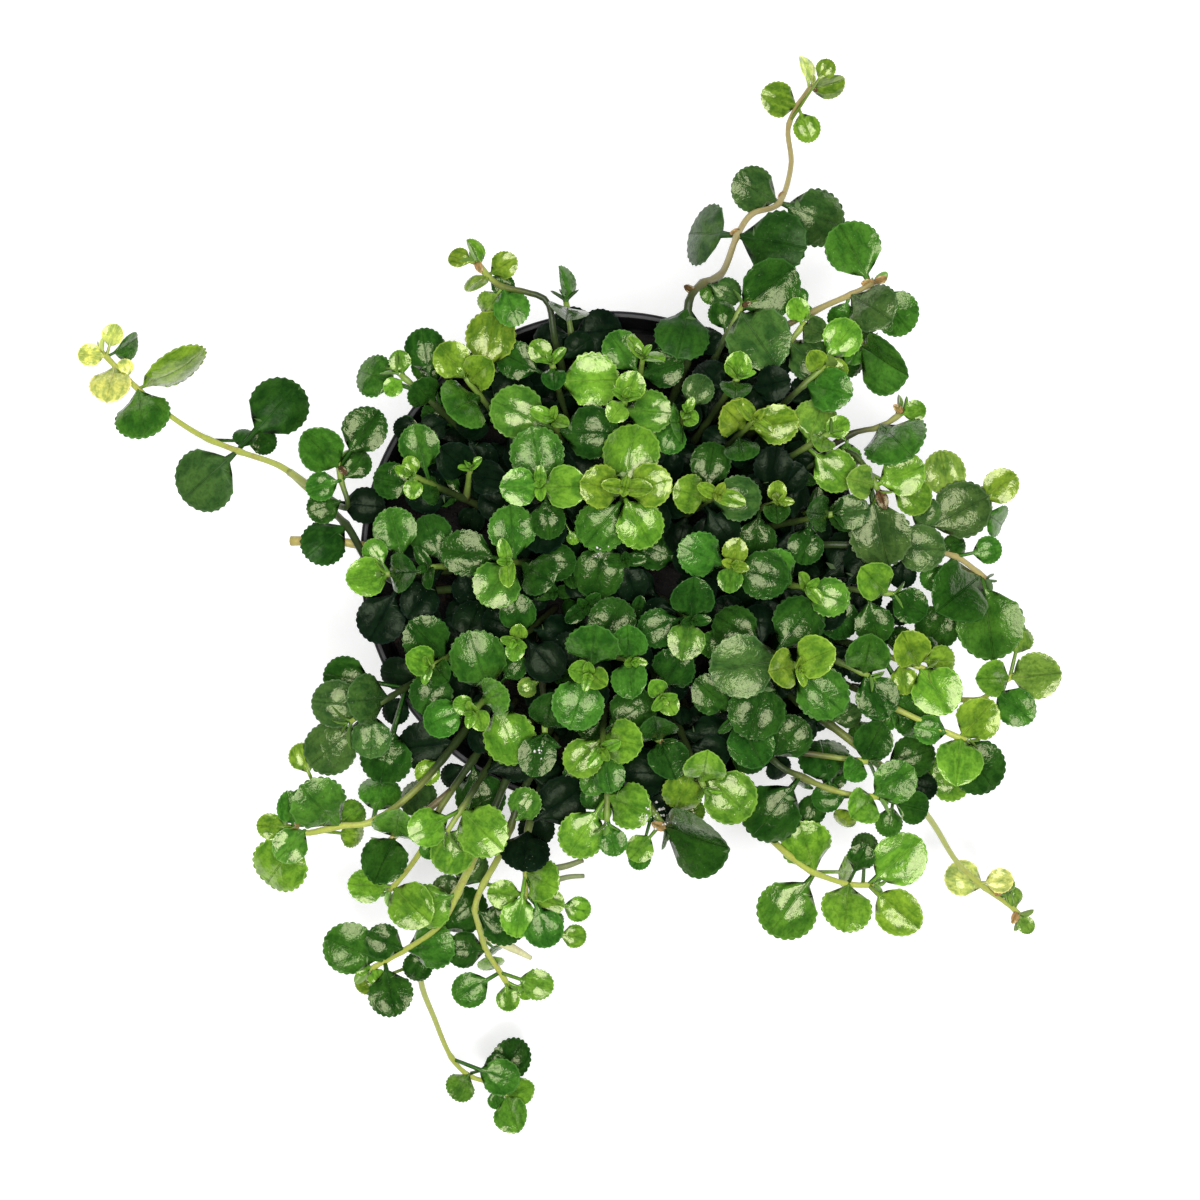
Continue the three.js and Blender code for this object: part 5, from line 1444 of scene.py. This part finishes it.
def kind(leaf):
    """The number of a leaf's pattern, by its size and place, and its finish."""
    if leaf.radius > BROAD_R and leaf.level < 5:
        return 0, age(leaf)
    return 2 if leaf.level == -2 else 1, age(leaf)


def foliage_shells(leaves):
    """The leaves sorted by pattern and finish, one shell for each kind that there is."""
    patterns = (BROAD, SMALL, BUD)
    return [
        blade_shell([leaf for leaf in leaves if kind(leaf) == (k, finish)], patterns[k], finish)
        for k, finish in sorted({kind(leaf) for leaf in leaves})
    ]

print("blades wider than %.1f mm get rounder teeth" % (2 * BROAD_R))

# %% [markdown]
# ## Stems as tubes
# A stem is a soft round shoot: thicker and browner at its root, thinner and green at its tip, and a little
# swollen where each leaf pair leaves it. Along its middle it is a dark olive, which is painted shade of the
# leaves over it. Where it hangs out in the open, past that painted shade, it is pale yellow-green, and rosy
# on the shoots named so. A bevelled curve would give an even tube, so a ring is carried along the path
# instead, with its own radius and colour at every step.

# %% A ring carried along a path, and each stem's radius and colour


def carried(path, radii, sides, finish, **marks):
    """Rings of points: centre plus radius times (cos, sin) in two directions across the path. The first is
    kept from turning: at each step it is what is left of the last one, across the new way."""
    way = np.gradient(path, axis=0)
    way /= np.linalg.norm(way, axis=1)[:, None]
    across = np.cross(way[0], [0.36, 0.48, 0.8])
    firsts = []
    for w in way:
        across = across - w * (across @ w)
        across = across / np.linalg.norm(across)
        firsts.append(across)
    first = np.array(firsts)
    second = np.cross(way, first)
    a = np.arange(sides) / sides * 2 * np.pi
    ring = first[:, None] * np.cos(a)[:, None] + second[:, None] * np.sin(a)[:, None]
    points = (path[:, None] + ring * np.asarray(radii)[:, None, None]).reshape(-1, 3)
    quads = quads_between(len(path), sides)
    k = np.arange(sides)
    ends = np.stack([k[::-1], (len(path) - 1) * sides + k])
    marks = {name: np.repeat(value, sides, axis=0) for name, value in marks.items()}
    return shell(points, [quads, ends], finish, **marks)


TUBE_SIDES, TUBE_STEP, STEM_FINISH = 8, 1.6, 3
STEM_BROWN, STEM_PAINTED_SHADE = np.array([0.030, 0.024, 0.012]), np.array([0.024, 0.042, 0.008])
STEM_YOUNG, STEM_OPEN = np.array([0.170, 0.270, 0.040]), np.array([0.390, 0.440, 0.075])
STEM_ROSY = np.array([0.370, 0.310, 0.115])
ROSY = (
    "trail_north_east", "rim_north_east", "arch_north_east", "rim_east_north_side", "trail_east",
    "trail_east_side", "side_south_west",
)


def stem_shell(shoot):
    """Radius: falls evenly along the stem, from 0.95 mm by 0.42 on a rooted one and from 0.78 mm by 0.26 on
    a branch, with a bell-shaped swelling at each pair. Colour: brown at the root, then a dark olive that is
    painted shade of the leaves over it, green by the tip, and pale or rosy beyond the rim, where the painted
    shade ends."""
    count = max(8, int(shoot.length / TUBE_STEP))
    share = np.linspace(0, 1, count)
    path, length = evenly(shoot.places, share)
    widest, taper = (0.78, 0.26) if shoot.parent else (0.95, 0.42)
    thick = widest - taper * share
    for leaf in thicket.leaves:
        if leaf.shoot is shoot:
            at = np.linalg.norm(path - leaf.base, axis=1)
            swollen = 0.9 + 0.42 * np.exp(-((at / 1.3) ** 2))
            thick = np.maximum(thick, (0.54 + 0.40 * (1 - share)) * swollen)
    fade = lambda value, low, high: np.clip((value - low) / (high - low), 0, 1)[:, None]
    out = np.hypot(path[:, 0], path[:, 1])
    # Painted shade: the stem's middle is dark olive for the leaves over it, and that shade fades out between
    # 56 and 72 mm from the pot's axis.
    tone = STEM_BROWN + (STEM_PAINTED_SHADE - STEM_BROWN) * fade(share * length, 8, 22)
    tone = tone + (STEM_YOUNG - tone) * fade(share * length, length - 9, length - 2)
    tone = tone + ((STEM_ROSY if shoot.name in ROSY else STEM_OPEN) - tone) * fade(out, 56, 72)
    tone = np.concatenate([tone, np.ones((count, 1))], axis=1)
    return carried(path, thick, TUBE_SIDES, STEM_FINISH, tone=tone, chance=share)


print("rings carried along the longest stem:", max(int(s.length / TUBE_STEP) for s in shoots))

# %% [markdown]
# ## The leaf's finish
# The real leaf is smooth and glossy, darker with age, with a pale midrib that is clearest near the stalk, two
# side veins that curve with the edge, and a surface so finely dappled that highlights break up on it. The
# veins could be modelled, but they are thinner than a face, so they are lines in the blade's own map, as
# colour and as bump; the darker lines along them are painted shade in their grooves. A thin pale band along
# the edge is a painted highlight, where the scalloped edge catches the light. Clouds of lighter and darker
# green are partly the leaf's own mottling and partly painted light and shade across the blade. The back is
# paler and duller. Three finishes serve three ages, each with its own gloss, sheen, roughness and grain.
# Bumps fold each blade's shine up or down along the midrib and add slow swells and a crinkle, so that every
# blade turns the light its own way.

# %% Veins, margin, dapple and gloss
def leaf_finish(name, gloss, sheen, rough, grain):
    """The net for leaves of one age: gloss is the mirror's strength, sheen its tint, rough its least
    roughness, grain how crinkled it is. All patterns are in the blade's own map or in the object's place."""
    net = Finish(name, Specular_IOR_Level=gloss, Specular_Tint=sheen)
    chart = net.node("ShaderNodeUVMap", {"uv_map": "blade"})
    along = net.node("ShaderNodeSeparateXYZ", values={0: chart}, output=0)
    side = (net.node("ShaderNodeSeparateXYZ", values={0: chart}, output=1) - 0.5) * 2
    off = abs(side)
    tone, rim, luck, size = net.mark("tone", "Color"), net.mark("rim"), net.mark("chance"), net.mark("size")
    under = net.mark("under").step(0.5, 0.62)
    where = net.place()

    half_width = (1.02 - (along * 2 - 1) ** 2).math("MAXIMUM", 0.02).math("SQRT")
    across = (off / half_width).math("MINIMUM", 1.0)
    cushion = across * (1.0 - across) * 4
    roof = off * (luck - 0.5).math("SIGN")
    midrib = off.step(0.036, 0.008)
    arch = (along * 3.1416).math("SINE") * 0.50
    side_vein = abs(off - arch).step(0.05, 0.01) * along.step(0.02, 0.12) * along.step(0.98, 0.7)
    edge_highlight = rim.step(0.93, 0.985)

    drawn = net.node("ShaderNodeCombineXYZ", values={0: along, 1: off, 2: luck * 37.0})
    patches = net.noise(drawn, 2.4, 3.0, 0.6, 0.4)
    twice = net.node("ShaderNodeCombineXYZ", values={0: along * 2, 1: side, 2: luck * 53.0})
    swells = net.noise(twice, 1.3, 1.0, 0.5, 0.3)
    crinkle = net.noise(where, 1250.0, 2.0, 0.55, 0.6)
    dapple = net.noise(where, 3200.0, 3.0, 0.6)

    # Clouds of lighter and darker green: partly the leaf's own mottling, partly painted light and shade
    # across the blade.
    mottle_and_painted_light = patches.step(0.3, 0.7)
    body = net.mix(mottle_and_painted_light, net.times(tone, 0.50, 0.62, 0.60), net.times(tone, 1.40, 1.26, 1.16))
    body = net.mix(crinkle.step(0.42, 0.66) * 0.6, body, net.times(body, 0.52, 0.60, 0.50))
    body = net.mix(midrib * along.step(0.62, 0.05) * 0.5, body, net.times(tone, 2.2, 1.6, 3.2))
    # Darker lines along the midrib and side veins: painted shade in their sunken grooves.
    body = net.mix(midrib * 0.22 + side_vein * 0.1, body, net.times(tone, 0.45, 0.55, 0.50))
    # A pale band at the edge: painted highlight where the scalloped edge catches the light.
    body = net.mix(edge_highlight * 0.5, body, net.times(tone, 2.3, 1.8, 3.0))
    freckled = dapple.step(0.69, 0.75) * luck.step(0.72, 0.8) * 0.6
    body = net.mix(freckled, body, colour(0.62, 0.70, 0.52))
    net.drive(
        Base_Color=net.mix(under, body, net.mix(0.35, tone, colour(0.16, 0.24, 0.10))),
        Roughness=crinkle.step(0.4, 0.65) * 0.12 + under * 0.3 + rough,
    )
    broad = (cushion * 0.014 + swells * 0.11 + roof * 0.115 - midrib * 0.018) * size
    net.relief(broad + crinkle * grain + dapple * 0.014, 0.001)
    return net


leaf_finishes = [
    leaf_finish("young leaf", 1.0, colour(1.0, 0.97, 0.62), 0.09, 0.085),
    leaf_finish("grown leaf", 0.62, colour(0.96, 1.0, 0.60), 0.10, 0.12),
    leaf_finish("old leaf", 0.13, colour(0.84, 1.0, 0.70), 0.28, 0.09),
]

stem_finish = Finish("soft stem", Specular_IOR_Level=0.5)
where = stem_finish.place()
tone = stem_finish.mark("tone", "Color")
blotch = stem_finish.noise(where, 420.0, 3.0, 0.6)
fine = stem_finish.noise(where, 1700.0, 2.0)
rosy = stem_finish.mix(blotch.step(0.52, 0.74) * 0.4, tone, stem_finish.times(tone, 0.9, 0.42, 0.6))
specks = fine.step(0.5, 0.75) * 0.3
stem_finish.drive(
    Base_Color=stem_finish.mix(specks, rosy, stem_finish.times(tone, 1.7, 1.6, 1.9)),
    Roughness=0.36 + fine * 0.2,
)
stem_finish.relief(blotch + fine * 0.4, 0.00018)
print("leaf nodes:", len(leaf_finishes[0].tree.nodes), "stem nodes:", len(stem_finish.tree.nodes))

# %% [markdown]
# ## One piece for each leafy stem
# Each CAD node is a rooted stem with the shoots that branch off it. Its finer piece holds the same stems as
# tubes, the same leaves and the young and lower ones that belong to it. All foliage could be one mesh, but a
# piece for each node keeps the plant as it is built, stem by stem.

# %% Stems and blades of each node, joined
foliage = [*leaf_finishes, stem_finish]
foliage_faces = 0
for root_shoot in rooted:
    family = [s for s in shoots if s.node == root_shoot.name]
    grown = [leaf for leaf in thicket.leaves + buds if leaf.shoot in family]
    shells = foliage_shells(grown) + [stem_shell(s) for s in family]
    name, node = root_shoot.name + "_stem_and_leaves", "leafy_stem_" + root_shoot.name
    piece = make_piece(name, shells, foliage, [node])
    foliage_faces += len(piece.data.polygons)
low_leaves = [leaf for leaf in thicket.leaves + buds if leaf.shoot in sprigs]
low_shells = foliage_shells(low_leaves) + [stem_shell(s) for s in sprigs]
make_piece("undergrowth_stems_and_leaves", low_shells, foliage)
all_leaves = len(thicket.leaves) + len(buds)
print("foliage: %d pieces, %d leaves, %d faces" % (len(rooted) + 1, all_leaves, foliage_faces))

# %% [markdown]
# ## Dry scales, a cut stem and grit
# Small brown scales sit where leaves have left the stems, a cut stem ends in the open on the left, two stubs
# stand out at the foot of the mound, a pale root hangs a little below them in the picture, and white grit
# lies in three places. They are too small for the part, and each is read off the photograph: a scale is a
# tiny curled blade on the stem nearest to its place, and a grain lies where the line of sight first meets the
# plant.

# %% What lies on the plant or is left over on it
TONES.update(t=(0.330, 0.210, 0.085), n=(0.085, 0.050, 0.024))
SCALES = [
    [449, 271, 101, 1.1, "t"], [879, 277, 92, 1.1, "t"], [893, 281, 92, 1.1, "t"], [691, 291, 98, 1.1, "n"],
    [735, 300, 97, 0.8, "n"], [690, 712, 108, 0.8, "n"], [683, 833, 103, 1.3, "t"],
    [633, 764, 108, 0.7, "t"], [905, 405, 103, 1.0, "t"], [781, 182, 62, 1.0, "t"],
    [742, 221, 76, 0.9, "t"], [806, 78, 45, 0.7, "n"], [1022, 912, 38, 1.2, "t"], [1008, 889, 42, 1.1, "t"],
    [383, 456, 98, 0.9, "n"], [939, 492, 100, 0.9, "t"], [942, 556, 94, 0.9, "t"], [301, 812, 93, 1.0, "t"],
    [890, 520, 107, 1.6, "n"], [668, 836, 104, 1.2, "t"],
]
LEFT_OVER = [
    ["cut stem", [[374, 548, 90], [335, 541, 90], [291, 541, 88]], [1.0, 0.85, 1.05], (0.42, 0.36, 0.10)],
    ["pale root", [[486, 938, 76], [508, 946, 74], [531, 958, 71]], [0.6, 1.0, 0.5], (0.66, 0.66, 0.34)],
    ["upper stub", [[526, 872, 98], [548, 869, 97], [566, 866, 96], [583, 860, 95]],
     [0.5, 0.7, 0.7, 0.55], (0.19, 0.22, 0.09)],
    ["lower stub", [[526, 884, 97], [548, 882, 96], [568, 877, 95], [584, 876, 94]],
     [0.5, 0.65, 0.6, 0.5], (0.21, 0.25, 0.11)],
]
GRIT = [(656, 818, 16, 26), (541, 752, 7, 9), (600, 552, 9, 6)]
RAY_TOP, RAY_FOOT = 126, 60
LEFT_OVER_SHARES = np.linspace(0, 1, 14)
litter = np.random.default_rng(5)
scales = []
for px, py, z, radius, tone in SCALES:
    turn, lift = litter.uniform(0, 6.28), litter.uniform(0.2, 0.6)
    axes = tip_axes(np.array([0.0, 0.0, 1.0]), turn, lift)
    aimed = seen(px, py, z)
    place = min((nearest_on(s, aimed) for s in shoots), key=lambda foot: np.linalg.norm(foot - aimed))
    base = place + [0, 0, 0.6]
    scales.append(new_leaf(None, base, radius, radius * 1.3, 0.5, -2, tone, axes=axes))
tubes = []
for _, path, radii, own_colour in LEFT_OVER:
    places = evenly([seen(*p) for p in path], LEFT_OVER_SHARES)[0]
    tones = np.tile([*own_colour, 1.0], (len(places), 1))
    radii = np.interp(LEFT_OVER_SHARES, np.linspace(0, 1, len(radii)), radii)
    tubes.append(carried(places, radii, TUBE_SIDES, STEM_FINISH, tone=tones, chance=LEFT_OVER_SHARES))
make_piece("dry_scales_and_cut_stem", [blade_shell(scales, BUD, 1)] + tubes, foliage)
bpy.context.view_layer.update()
grit_places = []
for px, py, spread, count in GRIT:
    for dx, dy in litter.normal(0, spread / 2, (count, 2)):
        pixel = px + dx, py + dy
        high, low = seen(*pixel, RAY_TOP) / MM_PER_M, seen(*pixel, RAY_FOOT) / MM_PER_M
        graph = bpy.context.evaluated_depsgraph_get()
        met, place, *_ = bpy.context.scene.ray_cast(graph, high, low - high)
        if met:
            grit_places.append(np.array(place) * MM_PER_M)
grit_shell = scattered(np.array(grit_places), litter.uniform(0.12, 0.42, len(grit_places)), 0.6)
make_piece("white_grit_on_leaves", [grit_shell], [perlite_finish])
print("scales: %d, grains of grit: %d" % (len(scales), len(grit_places)))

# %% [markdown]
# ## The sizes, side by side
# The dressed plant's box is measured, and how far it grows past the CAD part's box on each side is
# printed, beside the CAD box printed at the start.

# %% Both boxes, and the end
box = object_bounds()
past = (*np.subtract(cad_box[0], box[0]), *np.subtract(box[1], cad_box[1]))
print("grown past the CAD box, mm:", [round(float(d) * MM_PER_M, 1) for d in past])
